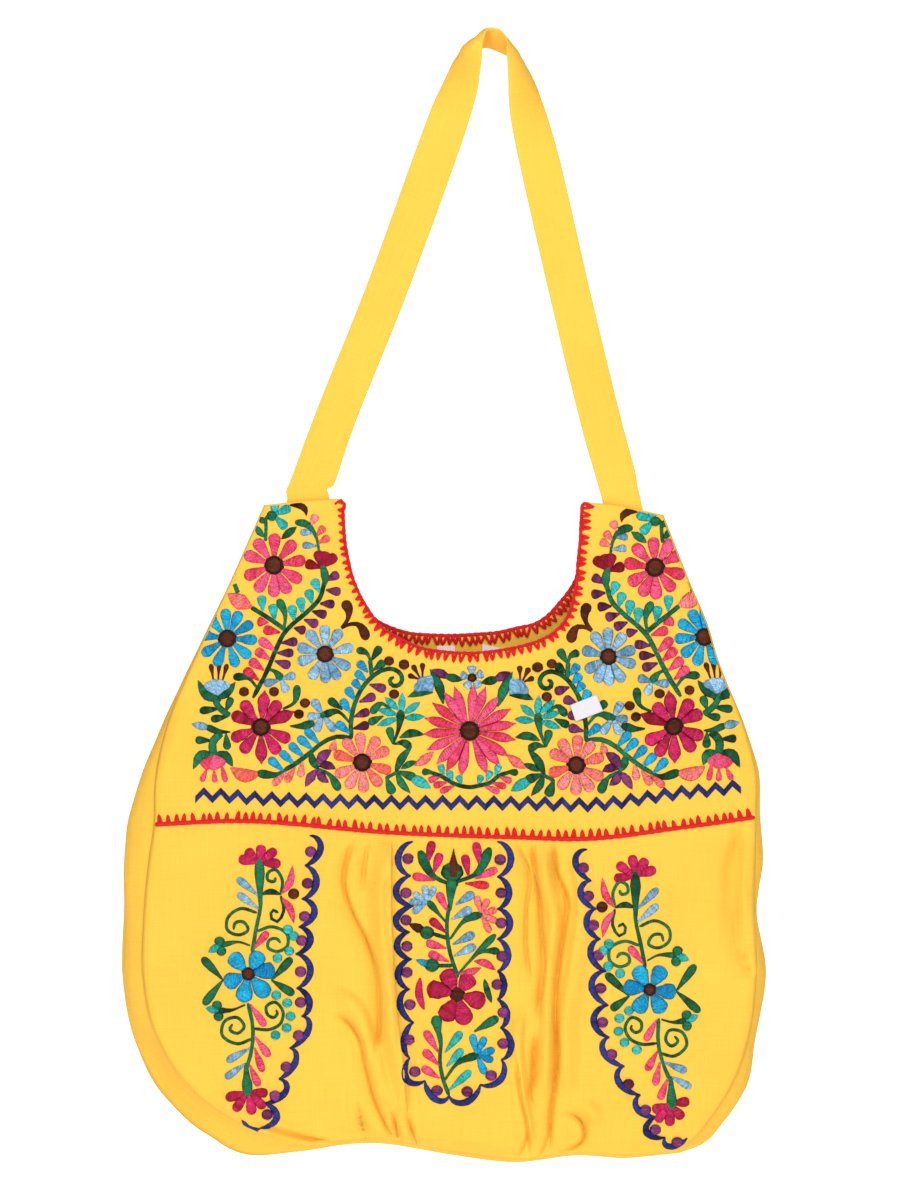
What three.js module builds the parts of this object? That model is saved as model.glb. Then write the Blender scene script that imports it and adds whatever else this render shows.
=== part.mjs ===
// A slouchy shoulder bag of yellow cotton, hanging from a peg by its strap.
// Front and back are each a stiff embroidered yoke sewn to a gathered lower panel. A gusset runs down one
// side, under the bottom and up the other side. The strap ends are sewn in between the tabs of the yokes.
// Red blanket stitch binds the necklines and the yoke seams.
import * as THREE from "three";

// Driving sizes in millimetres. Seen from the front, +X is right, +Y goes to the back and +Z is up.
// The origin is where a peg carries the strap, and a drop is a distance below it.
const CLOTH = 2; // wall of lined cotton
const GAP = 0.3; // clearance between sewn pieces
const TAB_DROP = 300; // top of the two tabs
const SEAM_DROP = 510; // seam between yoke and lower panel
const HEM_DROP = 722; // seam between lower panel and gusset, under the bag
const STRAP = { width: 26, thick: 2 };
const EDGING = 2.4; // diameter of the stitched red edging
const CROWN_POWER = 2.6; // how flat the middle of a panel is between its side seams

// Sections of the bag from the tabs down. left and right are the side seams of the front, seam is half the
// depth at a side seam, crown is the extra depth in mid panel, and the bulges are how far the gusset swells
// past its seams.
const SECTIONS = [
  { drop: 300, left: -153, right: 109.5, seam: 2.4, crown: 0, bulgeLeft: 0, bulgeRight: 0 },
  { drop: 350, left: -175, right: 128, seam: 8, crown: 3, bulgeLeft: 0, bulgeRight: 0 },
  { drop: 375, left: -186.5, right: 138, seam: 11, crown: 5, bulgeLeft: 0.5, bulgeRight: 0 },
  { drop: 400, left: -198, right: 145, seam: 14, crown: 7, bulgeLeft: 1, bulgeRight: 0 },
  { drop: 450, left: -218, right: 163, seam: 19, crown: 10, bulgeLeft: 4, bulgeRight: 1 },
  { drop: 480, left: -224, right: 170, seam: 21, crown: 11, bulgeLeft: 10.5, bulgeRight: 2.5 },
  { drop: 510, left: -225, right: 170, seam: 23, crown: 12, bulgeLeft: 18, bulgeRight: 3 },
  { drop: 535, left: -228.5, right: 169.5, seam: 24, crown: 13.5, bulgeLeft: 16.5, bulgeRight: 6 },
  { drop: 570, left: -231.5, right: 169, seam: 25.5, crown: 15.5, bulgeLeft: 13.5, bulgeRight: 1.5 },
  { drop: 610, left: -232, right: 170, seam: 26, crown: 17, bulgeLeft: 14, bulgeRight: 7 },
  { drop: 650, left: -223, right: 165, seam: 26, crown: 17, bulgeLeft: 15.5, bulgeRight: 5 },
  { drop: 680, left: -204, right: 154, seam: 25, crown: 14, bulgeLeft: 18, bulgeRight: 10 },
  { drop: 700, left: -181, right: 141, seam: 24, crown: 10, bulgeLeft: 18.5, bulgeRight: 9.5 },
  { drop: 714, left: -154, right: 129, seam: 23, crown: 5, bulgeLeft: 16.5, bulgeRight: 8 },
  { drop: 722, left: -127, right: 119, seam: 22, crown: 0, bulgeLeft: 4.5, bulgeRight: 3 },
];

// How the tab tops, the yoke seam and the hem wander up and down, from the left side seam to the right one.
const DIPS = [
  { across: 0, tab: -0.5, seam: 0, hem: 1.5 },
  { across: 0.13, tab: 3, seam: 2.5, hem: 6 },
  { across: 0.4, tab: 2, seam: -5, hem: -1.5 },
  { across: 0.6, tab: 2, seam: -8, hem: -6.5 },
  { across: 0.72, tab: 1, seam: -9, hem: -2.5 },
  { across: 0.87, tab: 0, seam: -2, hem: -4.2 },
  { across: 1, tab: -7, seam: 5, hem: -2 },
];

// Necklines from the left tab round the bottom to the right tab, as places (x, drop).
const NECKS = {
  front: [
    [-101.5, 300], [-101, 315.5], [-100, 327.5], [-98, 339], [-95, 350.5], [-91, 360], [-85, 370],
    [-76, 381], [-63.5, 388], [-49, 393.5], [-33.5, 395.5], [-17.5, 396], [-2, 394.5], [14, 391.5],
    [28, 387], [38.5, 381], [46, 372.5], [50, 362], [52.5, 350], [53.5, 337.5], [55, 324],
    [55.5, 312.5], [56.5, 300],
  ],
  back: [
    [-102, 300], [-102, 316], [-101, 327.5], [-99, 339], [-96, 351.5], [-92, 361], [-87, 370],
    [-80, 376.5], [-70, 381], [-58.5, 384], [-44, 385], [-28, 385], [-12.5, 384], [2, 382.5],
    [14, 379.5], [25.5, 376.5], [34, 371], [41.5, 363], [48.5, 354.5], [52.5, 347.5], [54.5, 336],
    [56, 324], [56.5, 312.5], [57.5, 300],
  ],
};

// Folds of the lower panels, as ridges (lift above 0) or valleys from a place at the yoke seam to one at the
// hem. from and to are shares of the panel's height, and width is half the width of the fold.
const FOLDS = {
  front: [
    { topX: -32, hemX: -30, from: 0, to: 0.96, width: 52, lift: 3 },
    { topX: -97, hemX: -70, from: 0, to: 0.6, width: 14, lift: 5 },
    { topX: -77, hemX: -60, from: 0, to: 0.9, width: 10, lift: -6 },
    { topX: -122, hemX: -60, from: 0.42, to: 1, width: 13, lift: 5 },
    { topX: -98, hemX: -86, from: 0.7, to: 1, width: 9, lift: -4 },
    { topX: -52, hemX: -47, from: 0.72, to: 1, width: 9, lift: -4 },
    { topX: 16, hemX: 16, from: 0, to: 0.97, width: 9, lift: -6 },
    { topX: 28, hemX: 27, from: 0, to: 1, width: 9, lift: 6 },
    { topX: 39, hemX: 37, from: 0, to: 0.97, width: 8, lift: -5 },
    { topX: 52, hemX: 48, from: 0, to: 1, width: 10, lift: 5 },
    { topX: 70, hemX: 64, from: 0.7, to: 1, width: 10, lift: -4 },
    { topX: 150, hemX: 172, from: 0, to: 0.52, width: 15, lift: -5 },
  ],
  back: [
    { topX: -96, hemX: -78, from: 0, to: 1, width: 12, lift: 5 },
    { topX: -74, hemX: -60, from: 0, to: 0.95, width: 11, lift: -5 },
    { topX: 18, hemX: 14, from: 0, to: 0.95, width: 11, lift: -5 },
    { topX: 40, hemX: 32, from: 0, to: 1, width: 12, lift: 5 },
  ],
};

// The strap from the left tab over the peg to the right tab, by its inner and outer edge. Where these come
// closer than the strap's width, the inner edge lies in front. bow moves the middle line off halfway.
const STRAP_ROWS = [
  { inner: [-110, -313], outer: [-138, -313] },
  { inner: [-110, -296.5], outer: [-138, -296.5] },
  { inner: [-111.5, -290], outer: [-138.5, -291.5] },
  { inner: [-108.5, -288.5], outer: [-137.5, -288.5] },
  { inner: [-105.5, -283], outer: [-135, -282.5] },
  { inner: [-92.5, -245], outer: [-117.5, -235.5] },
  { inner: [-61, -166.5], outer: [-86, -157] },
  { inner: [-32, -88], outer: [-57.5, -78.5] },
  { inner: [-18.5, -48.5], outer: [-43.5, -40.5] },
  { inner: [-13, -29], outer: [-36, -24] },
  { inner: [-11.5, -18.5], outer: [-32, -15.5] },
  { inner: [-10, -8], outer: [-26.5, -6] },
  { inner: [-9.5, 0], outer: [-18, -2.5], bow: [-6, 3] },
  { inner: [-8, 8], outer: [-11, 0], bow: [-3.5, 3] },
  { inner: [-6, 11.5], outer: [-7, 0.5], bow: [-1.5, 3.5] },
  { inner: [-2, 12.5], outer: [-3.5, 0] },
  { inner: [3, 10.5], outer: [1.5, -2] },
  { inner: [6.5, 4], outer: [7.5, -5], bow: [1.5, 3] },
  { inner: [6.5, -4.5], outer: [13.5, -9], bow: [4, 3] },
  { inner: [7, -12.5], outer: [20, -13.5], bow: [2, 1] },
  { inner: [7.5, -24.5], outer: [25.5, -23.5] },
  { inner: [8, -37.5], outer: [30, -35.5] },
  { inner: [10.5, -55], outer: [35, -50.5] },
  { inner: [17.5, -88], outer: [43.5, -82] },
  { inner: [35.5, -166.5], outer: [61.5, -160.5] },
  { inner: [54.5, -245], outer: [80.5, -239] },
  { inner: [64.5, -280.5], outer: [90.5, -276.5] },
  { inner: [66.5, -287.5], outer: [92.5, -288] },
  { inner: [70, -301.5], outer: [96, -304] },
  { inner: [70, -317], outer: [96.5, -317] },
];

// Two blank labels sewn inside the back yoke, below its neckline. tilt is how steeply a top falls to the
// right.
const LABEL_THICK = 1;
const LABELS = [
  { name: "inner_label_small", x: -33.5, width: 12, top: 391.5, length: 18, tilt: 0 },
  { name: "inner_label_large", x: -1.5, width: 16, top: 391.5, length: 28, tilt: 0.18 },
];

const { clamp, lerp, smoothstep } = THREE.MathUtils;

// Evenly spaced numbers from one value to another, without the last where the next run starts on it.
function run(from, to, steps, withLast = false) {
  return Array.from({ length: steps + (withLast ? 1 : 0) }, (_, i) => lerp(from, to, i / steps));
}

// A smooth curve through the rows of a table: the function it returns gives a row's columns at any key.
function table(rows, key) {
  const names = Object.keys(rows[0]).filter((name) => name !== key);
  const values = rows.flatMap((row) => names.map((name) => row[name]));
  const keys = rows.map((row) => row[key]);
  const curve = new THREE.CubicInterpolant(keys, values, names.length);
  return (at) => {
    const found = curve.evaluate(clamp(at, keys[0], keys.at(-1)));
    return Object.fromEntries(names.map((name, i) => [name, found[i]]));
  };
}

const sectionAt = table(SECTIONS, "drop");
const dipAt = table(DIPS, "across");

// Height of a lower panel's folds above its smooth crown. They fade out at the seams on all four sides.
function foldLift(folds, x, across, share) {
  const fade = smoothstep(Math.min(across, 1 - across), 0, 0.06);
  return folds.reduce((sum, fold) => {
    const away = (x - lerp(fold.topX, fold.hemX, share)) / fold.width;
    const ridge = Math.max(0, 1 - away * away) ** 2;
    const begun = smoothstep(share, fold.from, fold.from + 0.16);
    const ended = smoothstep(share, fold.to - 0.16, fold.to);
    return sum + fold.lift * ridge * begun * (1 - ended) * fade;
  }, 0);
}

// A point of the front or back cloth. across runs from the left seam to the right one, and lift is out from
// mid cloth.
function clothPoint(face, across, drop, lift) {
  const { left, right, seam, crown } = sectionAt(drop);
  const dip = dipAt(across);
  const yokeShare = clamp((drop - TAB_DROP) / (SEAM_DROP - TAB_DROP), 0, 1);
  const panelShare = clamp((drop - SEAM_DROP) / (HEM_DROP - SEAM_DROP), 0, 1);
  const rise = panelShare > 0 ? lerp(dip.seam, dip.hem, panelShare) : lerp(dip.tab, dip.seam, yokeShare);
  const x = lerp(left, right, across);
  const swell = crown * (1 - Math.abs(2 * across - 1) ** CROWN_POWER);
  const depth = seam + swell + foldLift(FOLDS[face], x, across, panelShare) + lift;
  return new THREE.Vector3(x, face === "front" ? -depth : depth, rise - drop);
}

function acrossAt(x, drop) {
  const { left, right } = sectionAt(drop);
  return (x - left) / (right - left);
}

// Evenly spaced places along the smooth curve of a neckline.
function neckLine(face, steps) {
  const curve = new THREE.SplineCurve(NECKS[face].map(([x, drop]) => new THREE.Vector2(x, drop)));
  return curve.getSpacedPoints(steps).map(({ x, y }) => ({ x, drop: y }));
}

// A closed wall: point(i, j, lift) gives its middle moved out by lift, on a grid of columns and rows.
function wall(columns, rows, thick, point, turnOver = false) {
  const positions = [];
  for (const lift of [thick / 2, -thick / 2]) {
    for (let j = 0; j <= rows; j++) {
      for (let i = 0; i <= columns; i++) positions.push(...point(i, j, lift));
    }
  }
  const stride = columns + 1;
  const inner = stride * (rows + 1);
  const index = [];
  const quad = (a, b, c, d) => index.push(a, b, c, a, c, d);
  for (let j = 0; j < rows; j++) {
    for (let i = 0; i < columns; i++) {
      const a = j * stride + i;
      quad(a, a + stride, a + stride + 1, a + 1);
      quad(a + inner, a + inner + 1, a + inner + stride + 1, a + inner + stride);
    }
  }
  for (let i = 0; i < columns; i++) {
    const foot = rows * stride + i;
    quad(i, i + 1, i + 1 + inner, i + inner);
    quad(foot, foot + inner, foot + 1 + inner, foot + 1);
  }
  for (let j = 0; j < rows; j++) {
    const start = j * stride;
    const end = start + columns;
    quad(start, start + inner, start + stride + inner, start + stride);
    quad(end, end + stride, end + stride + inner, end + inner);
  }
  if (turnOver) index.reverse();
  const geometry = new THREE.BufferGeometry();
  geometry.setAttribute("position", new THREE.Float32BufferAttribute(positions, 3));
  geometry.setIndex(index);
  geometry.computeVertexNormals();
  return geometry;
}

function piece(name, geometry, material) {
  const mesh = new THREE.Mesh(geometry, material);
  mesh.name = name;
  return mesh;
}

// A yoke: each column runs from a tab top or the neckline down to the yoke seam.
const TAB_FOOT = 0.25; // share of the yoke seam under each tab
function yoke(face, tabColumns, neckColumns, rows) {
  const neck = neckLine(face, neckColumns).map(({ x, drop }) => ({ head: acrossAt(x, drop), drop }));
  const tab = (t, from, to, footFrom, footTo) => {
    return { drop: TAB_DROP, head: lerp(from, to, t), foot: lerp(footFrom, footTo, t) };
  };
  const columns = [
    ...run(0, 1, tabColumns).map((t) => tab(t, 0, neck[0].head, 0, TAB_FOOT)),
    ...neck.map((place, i) => ({ ...place, foot: lerp(TAB_FOOT, 1 - TAB_FOOT, i / neckColumns) })),
    ...run(0, 1, tabColumns).map((t) => tab(t, 1, neck.at(-1).head, 1, 1 - TAB_FOOT)).reverse(),
  ];
  const point = (i, j, lift) => {
    const { drop, head, foot } = columns[i];
    const share = j / rows;
    return clothPoint(face, lerp(head, foot, share), lerp(drop, SEAM_DROP - GAP / 2, share), lift);
  };
  return wall(columns.length - 1, rows, CLOTH, point, face === "back");
}

// A lower panel: its columns crowd together where the gathers are, and its rows towards the rounded hem.
function lowerPanel(face, columnRuns, rows) {
  const last = columnRuns.at(-1);
  const places = columnRuns.flatMap((part) => run(part.from, part.to, part.steps, part === last));
  const point = (i, j, lift) => {
    const share = 1 - (1 - j / rows) ** 1.35;
    return clothPoint(face, places[i], lerp(SEAM_DROP + GAP / 2, HEM_DROP, share), lift);
  };
  return wall(places.length - 1, rows, CLOTH, point, face === "back");
}

// The gusset: a strip along the side seams and the hem, swelling outwards between front and back.
function gusset(sideSteps, hemSteps, widthSteps) {
  const eased = (t) => lerp(TAB_DROP, HEM_DROP, 1 - (1 - t) ** 1.5);
  const stations = [
    ...run(0, 1, sideSteps).map((t) => ({ across: 0, drop: eased(t) })),
    ...run(0, 1, hemSteps).map((t) => ({ across: t, drop: HEM_DROP })),
    ...run(1, 0, sideSteps, true).map((t) => ({ across: 1, drop: eased(t) })),
  ];
  const seams = stations.map(({ across, drop }) => clothPoint("back", across, drop, 0));
  const outward = seams.map((_, i) => {
    const along = seams[Math.min(i + 1, seams.length - 1)].clone().sub(seams[Math.max(i - 1, 0)]);
    return new THREE.Vector3(along.z, 0, -along.x).normalize();
  });
  const point = (i, j, lift) => {
    const { bulgeLeft, bulgeRight } = sectionAt(stations[i].drop);
    const reach = (2 * j) / widthSteps - 1;
    const swell = lerp(bulgeLeft, bulgeRight, stations[i].across) * (1 - reach * reach);
    const place = seams[i].clone().addScaledVector(outward[i], swell - CLOTH / 2 + lift);
    place.y = reach * (seams[i].y - CLOTH / 2 - GAP);
    return place;
  };
  return wall(stations.length - 1, widthSteps, CLOTH, point);
}

// The strap: one band from edge to edge. Each edge stands off the middle line by what is left of half the
// width.
function strap(lengthSteps) {
  const half = STRAP.width / 2;
  const rows = STRAP_ROWS.map(({ inner, outer, bow = [0, 0] }) => {
    const [x, z] = [0, 1].map((k) => (inner[k] + outer[k]) / 2 + bow[k]);
    const depth = (edge) => Math.sqrt(Math.max(0, half ** 2 - (edge[0] - x) ** 2 - (edge[1] - z) ** 2));
    return [
      new THREE.Vector3(outer[0], depth(outer), outer[1]),
      new THREE.Vector3(x, 0, z),
      new THREE.Vector3(inner[0], -depth(inner), inner[1]),
    ];
  });
  const lines = [0, 1, 2].map((k) => new THREE.CatmullRomCurve3(rows.map((row) => row[k])));
  const point = (i, j, lift) => {
    const place = i / lengthSteps;
    const across = lines[Math.min(j + 1, 2)].getPoint(place).sub(lines[Math.max(j - 1, 0)].getPoint(place));
    const out = lines[j].getTangent(place).cross(across).normalize();
    return lines[j].getPoint(place).addScaledVector(out, lift);
  };
  return wall(lengthSteps, 2, STRAP.thick, point, true);
}

// A stitched edging: a thin roll along a line of points. out gives the way from the cloth at each of them.
function roll(points, out) {
  const sides = 6;
  const end = points.length - 1;
  const along = (i) => points[Math.min(i + 1, end)].clone().sub(points[Math.max(i - 1, 0)]).normalize();
  const positions = points.flatMap((point, i) => {
    const up = new THREE.Vector3().crossVectors(along(i), out[i]);
    return run(0, 2 * Math.PI, sides).flatMap((angle) => {
      const ring = point.clone().addScaledVector(out[i], (EDGING / 2) * Math.cos(angle));
      return ring.addScaledVector(up, (EDGING / 2) * Math.sin(angle)).toArray();
    });
  });
  const index = [];
  for (let i = 0; i < end; i++) {
    for (let k = 0; k < sides; k++) {
      const [a, b] = [i * sides + k, i * sides + ((k + 1) % sides)];
      index.push(a, b, b + sides, a, b + sides, a + sides);
    }
  }
  const last = end * sides;
  for (let k = 1; k < sides - 1; k++) index.push(0, k + 1, k, last, last + k, last + k + 1);
  const geometry = new THREE.BufferGeometry();
  geometry.setAttribute("position", new THREE.Float32BufferAttribute(positions, 3));
  geometry.setIndex(index);
  geometry.computeVertexNormals();
  return geometry;
}

// The neck edging lies just off the cut edge of the cloth, on the mouth's side of it.
function neckEdging(face, steps) {
  const points = neckLine(face, steps).map(({ x, drop }) => clothPoint(face, acrossAt(x, drop), drop, 0));
  const out = points.map((_, i) => {
    const along = points[Math.min(i + 1, steps)].clone().sub(points[Math.max(i - 1, 0)]);
    return new THREE.Vector3(-along.z, 0, along.x).normalize();
  });
  return roll(points.map((point, i) => point.addScaledVector(out[i], EDGING / 2 + GAP)), out);
}

// The seam edging lies on the outside of the yoke, along its lower edge.
function seamEdging(face, steps) {
  const off = CLOTH / 2 + EDGING / 2 + GAP;
  const places = run(0.012, 0.988, steps, true);
  const points = places.map((across) => clothPoint(face, across, SEAM_DROP - EDGING / 2, off));
  const out = places.map(() => new THREE.Vector3(0, face === "front" ? -1 : 1, 0));
  return roll(points, out);
}

// A label lies against the inside of the back yoke.
function label({ x, width, top, length, tilt }) {
  const [columns, rows] = [3, 3];
  const inside = -(CLOTH / 2 + GAP + LABEL_THICK / 2);
  const point = (i, j, lift) => {
    const aside = width * (i / columns - 0.5);
    const drop = top + tilt * aside + (length * j) / rows;
    const across = acrossAt(x + aside, drop);
    return clothPoint("back", across, drop, inside + lift);
  };
  return wall(columns, rows, LABEL_THICK, point, true);
}

const cotton = new THREE.MeshStandardMaterial({ name: "yellow_cotton", color: 0xffd23c, roughness: 0.85 });
const redThread = new THREE.MeshStandardMaterial({ name: "red_thread", color: 0xe0212b, roughness: 0.7 });
const labelTape = new THREE.MeshStandardMaterial({ name: "white_tape", color: 0xf1ece6, roughness: 0.8 });

const NECK_STEPS = 24;
const GATHERED_COLUMNS = [
  { from: 0, to: 0.27, steps: 6 },
  { from: 0.27, to: 0.47, steps: 14 },
  { from: 0.47, to: 0.57, steps: 3 },
  { from: 0.57, to: 0.75, steps: 13 },
  { from: 0.75, to: 1, steps: 7 },
];
const PLAIN_COLUMNS = [
  { from: 0, to: 0.28, steps: 4 },
  { from: 0.28, to: 0.48, steps: 8 },
  { from: 0.48, to: 0.58, steps: 2 },
  { from: 0.58, to: 0.76, steps: 8 },
  { from: 0.76, to: 1, steps: 4 },
];

const front = new THREE.Group();
front.add(
  piece("front_yoke", yoke("front", 5, NECK_STEPS, 7), cotton),
  piece("front_panel", lowerPanel("front", GATHERED_COLUMNS, 13), cotton),
  piece("front_neck_edging", neckEdging("front", NECK_STEPS), redThread),
  piece("front_seam_edging", seamEdging("front", 24), redThread),
);

const back = new THREE.Group();
back.add(
  piece("back_yoke", yoke("back", 4, NECK_STEPS, 6), cotton),
  piece("back_panel", lowerPanel("back", PLAIN_COLUMNS, 10), cotton),
  piece("back_neck_edging", neckEdging("back", NECK_STEPS), redThread),
  piece("back_seam_edging", seamEdging("back", 24), redThread),
  ...LABELS.map((row) => piece(row.name, label(row), labelTape)),
);

const bag = new THREE.Group();
bag.name = "embroidered_shoulder_bag";
bag.add(front, back, piece("gusset", gusset(20, 10, 5), cotton), piece("strap", strap(58), cotton));

export default bag;
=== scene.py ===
"""A yellow cotton shoulder bag with floral embroidery, hanging from a peg by its strap.

Sizes are in millimetres until a mesh is made. Seen from the front, x runs to the right, y to the back and
z up. The origin is where the peg carries the strap, and a drop is a distance below it.
"""

import bpy
import numpy as np
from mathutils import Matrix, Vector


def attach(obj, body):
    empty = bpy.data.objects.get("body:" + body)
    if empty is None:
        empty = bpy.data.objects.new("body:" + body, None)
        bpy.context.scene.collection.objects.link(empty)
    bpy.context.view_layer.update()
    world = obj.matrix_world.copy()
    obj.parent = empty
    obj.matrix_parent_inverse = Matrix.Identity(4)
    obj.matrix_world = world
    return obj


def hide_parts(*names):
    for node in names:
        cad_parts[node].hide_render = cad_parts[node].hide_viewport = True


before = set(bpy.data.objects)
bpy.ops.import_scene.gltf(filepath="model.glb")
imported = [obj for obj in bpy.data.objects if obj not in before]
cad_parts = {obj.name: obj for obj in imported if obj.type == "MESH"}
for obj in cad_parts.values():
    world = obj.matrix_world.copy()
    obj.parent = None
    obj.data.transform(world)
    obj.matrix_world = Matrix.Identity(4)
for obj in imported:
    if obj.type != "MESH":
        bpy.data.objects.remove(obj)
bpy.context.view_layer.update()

# Front yoke
# The stiff upper front is one piece of lined yellow cotton with two tabs and a U neckline.
# It is sewn to the gusset at both sides and to the gathered lower panel along its foot.

MM = 0.001
CLOTH = 2.0
TAB_DROP = 300.0
SEAM_DROP = 510.0
HEM_DROP = 722.0
SEAM_GAP = 0.3
CROWN_POWER = 2.6


def spline(keys, values):
    """Smooth curve through points: between two keys a cubic, whose slope at a key is that between its
    neighbours."""
    keys = np.asarray(keys, float)
    values = np.asarray(values, float)
    slopes = np.gradient(values, keys, axis=0)

    def curve(at):
        at = np.clip(at, keys[0], keys[-1])
        i = np.clip(np.searchsorted(keys, at) - 1, 0, len(keys) - 2)
        width = keys[i + 1] - keys[i]
        t = (at - keys[i]) / width
        if values.ndim > 1:
            t, width = t[..., None], width[..., None]
        start = (1 + 2 * t) * (1 - t) ** 2 * values[i] + t * (1 - t) ** 2 * width * slopes[i]
        end = t**2 * (3 - 2 * t) * values[i + 1] + t**2 * (t - 1) * width * slopes[i + 1]
        return start + end

    return curve


def ease(value, start, end):
    """Smooth step: 0 up to start, 1 from end on, and an S curve between."""
    t = np.clip((value - start) / (end - start), 0, 1)
    return t * t * (3 - 2 * t)


# Sections from the tabs down: the side seams, half the depth at them, the extra depth in mid panel, and how
# far the gusset swells past its seams on the left and on the right.
SECTION_COLUMNS = ("drop", "left", "right", "seam", "crown", "bulge_left", "bulge_right")
SECTIONS = np.array([
    (300, -153, 109.5, 2.4, 0, 0, 0),
    (350, -175, 128, 8, 3, 0, 0),
    (375, -186.5, 138, 11, 5, 0.5, 0),
    (400, -198, 145, 14, 7, 1, 0),
    (450, -218, 163, 19, 10, 4, 1),
    (480, -224, 170, 21, 11, 10.5, 2.5),
    (510, -225, 170, 23, 12, 18, 3),
    (535, -228.5, 169.5, 24, 13.5, 16.5, 6),
    (570, -231.5, 169, 25.5, 15.5, 13.5, 1.5),
    (610, -232, 170, 26, 17, 14, 7),
    (650, -223, 165, 26, 17, 15.5, 5),
    (680, -204, 154, 25, 14, 18, 10),
    (700, -181, 141, 24, 10, 18.5, 9.5),
    (714, -154, 129, 23, 5, 16.5, 8),
    (722, -127, 119, 22, 0, 4.5, 3),
])
section = {name: spline(SECTIONS[:, 0], SECTIONS[:, i]) for i, name in enumerate(SECTION_COLUMNS)}

# How the tab tops, the yoke seam and the hem wander up and down from the left side seam to the right one.
DIP_COLUMNS = ("across", "tab", "seam", "hem")
DIPS = np.array([
    (0, -0.5, 0, 1.5),
    (0.13, 3, 2.5, 6),
    (0.4, 2, -5, -1.5),
    (0.6, 2, -8, -6.5),
    (0.72, 1, -9, -2.5),
    (0.87, 0, -2, -4.2),
    (1, -7, 5, -2),
])
dip = {name: spline(DIPS[:, 0], DIPS[:, i]) for i, name in enumerate(DIP_COLUMNS)}


def panel_share(drop):
    """Share of the lower panel's height above a drop: 0 at the yoke seam, 1 at the hem."""
    return np.clip((drop - SEAM_DROP) / (HEM_DROP - SEAM_DROP), 0, 1)


def rise(across, drop):
    """How far the cloth lies above its drop: the three wandering lines, blended from one to the next."""
    lower = panel_share(drop)
    upper = np.clip((drop - TAB_DROP) / (SEAM_DROP - TAB_DROP), 0, 1)
    seam = dip["seam"](across)
    return np.where(lower > 0, seam + (dip["hem"](across) - seam) * lower,
                    dip["tab"](across) + (seam - dip["tab"](across)) * upper)


def place(across, drop):
    """The point (x, z) at a share of the way between the side seams and a drop."""
    left, right = section["left"](drop), section["right"](drop)
    return left + (right - left) * across, rise(across, drop) - drop


def across_at(x, drop):
    """Share of the way from the left side seam to the right one."""
    left, right = section["left"](drop), section["right"](drop)
    return (x - left) / (right - left)


LOCATE_STEPS = 5


def locate(x, z):
    """The share across and the drop of a point (x, z), by repeating the correction for the wandering
    lines."""
    drop = -z
    for _ in range(LOCATE_STEPS):
        across = np.clip(across_at(x, drop), 0, 1)
        drop = rise(across, drop) - z
    return across, drop


# Folds and embroidery are drawn on a chart. Its squares are the pixels of the photograph, counted from the
# top left, and stand for 0.655 mm each.
SQUARE = 0.655
PEG_SQUARE = np.array((497, 46))


def from_chart(squares):
    """Points (x, z) of chart squares (column, row)."""
    return (np.asarray(squares, float) - PEG_SQUARE) * (SQUARE, -SQUARE)


def smooth_line(points, count):
    """Evenly counted points of the smooth curve through a few points, spaced by the distance between
    those."""
    points = np.asarray(points, float)
    reach = np.concatenate([[0], np.cumsum(np.linalg.norm(np.diff(points, axis=0), axis=1))])
    return spline(reach, points)(np.linspace(0, reach[-1], count))


FOLD_POINTS = 60
FOLD_FADE = 18.0
GROOVE_HALF = 2.4
GROOVE_SHARE = 0.34
GROOVE_POWER = 1.5


def fold_height(x, z, folds):
    """Height of folds along lines: a round ridge (1 - t^2)^2, or below 0 a crease, which is a shallow
    valley (1 - |t|)^2 with a narrow groove along its middle. The nearest point of the line tells how far to
    the side a point lies, and how far along, for the fade over FOLD_FADE mm at both ends. A lean above 0
    makes the right side of the fold steeper and its left side wider."""
    height = np.zeros_like(x)
    for squares, width, lift, lean in folds:
        line = from_chart(smooth_line(squares, FOLD_POINTS))
        low, high = line.min(0) - 2 * width, line.max(0) + 2 * width
        near = (x > low[0]) & (x < high[0]) & (z > low[1]) & (z < high[1])
        points = np.stack([x[near], z[near]], -1)
        away = points[:, None, :] - line[None]
        nearest = np.argmin((away**2).sum(-1), axis=1)
        along = np.gradient(line, axis=0)[nearest]
        step = np.linalg.norm(along, axis=1)
        away = np.take_along_axis(away, nearest[:, None, None], 1)[:, 0]
        aside = (along[:, 0] * away[:, 1] - along[:, 1] * away[:, 0]) / step
        t = aside / (width * (1 - lean * np.sign(aside)))
        spacing = np.linalg.norm(np.diff(line, axis=0), axis=1).mean()
        passed = nearest * spacing + (along * away).sum(1) / step
        length = (len(line) - 1) * spacing
        fade = ease(passed, 0, FOLD_FADE) * (1 - ease(passed, length - FOLD_FADE, length))
        if lift > 0:
            profile = np.maximum(0, 1 - t * t) ** 2
        else:
            groove = np.maximum(0, 1 - np.abs(aside) / GROOVE_HALF) ** GROOVE_POWER
            profile = (1 - GROOVE_SHARE) * np.maximum(0, 1 - np.abs(t)) ** 2 + GROOVE_SHARE * groove
        height[near] += lift * profile * fade
    return height


def ripples(x, z, seed, count, longest, shortest, height):
    """Soft unevenness of cloth: a sum of waves of random direction, length and phase."""
    rng = np.random.default_rng(seed)
    lengths = np.geomspace(longest, shortest, count)
    turns = rng.uniform(0, np.pi, count)
    phases = rng.uniform(0, 2 * np.pi, count)
    total = np.zeros_like(x)
    for length, turn, phase in zip(lengths, turns, phases):
        total += length / longest * np.sin(2 * np.pi / length * (x * np.cos(turn) + z * np.sin(turn)) + phase)
    return height * total / np.sqrt(count)


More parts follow.
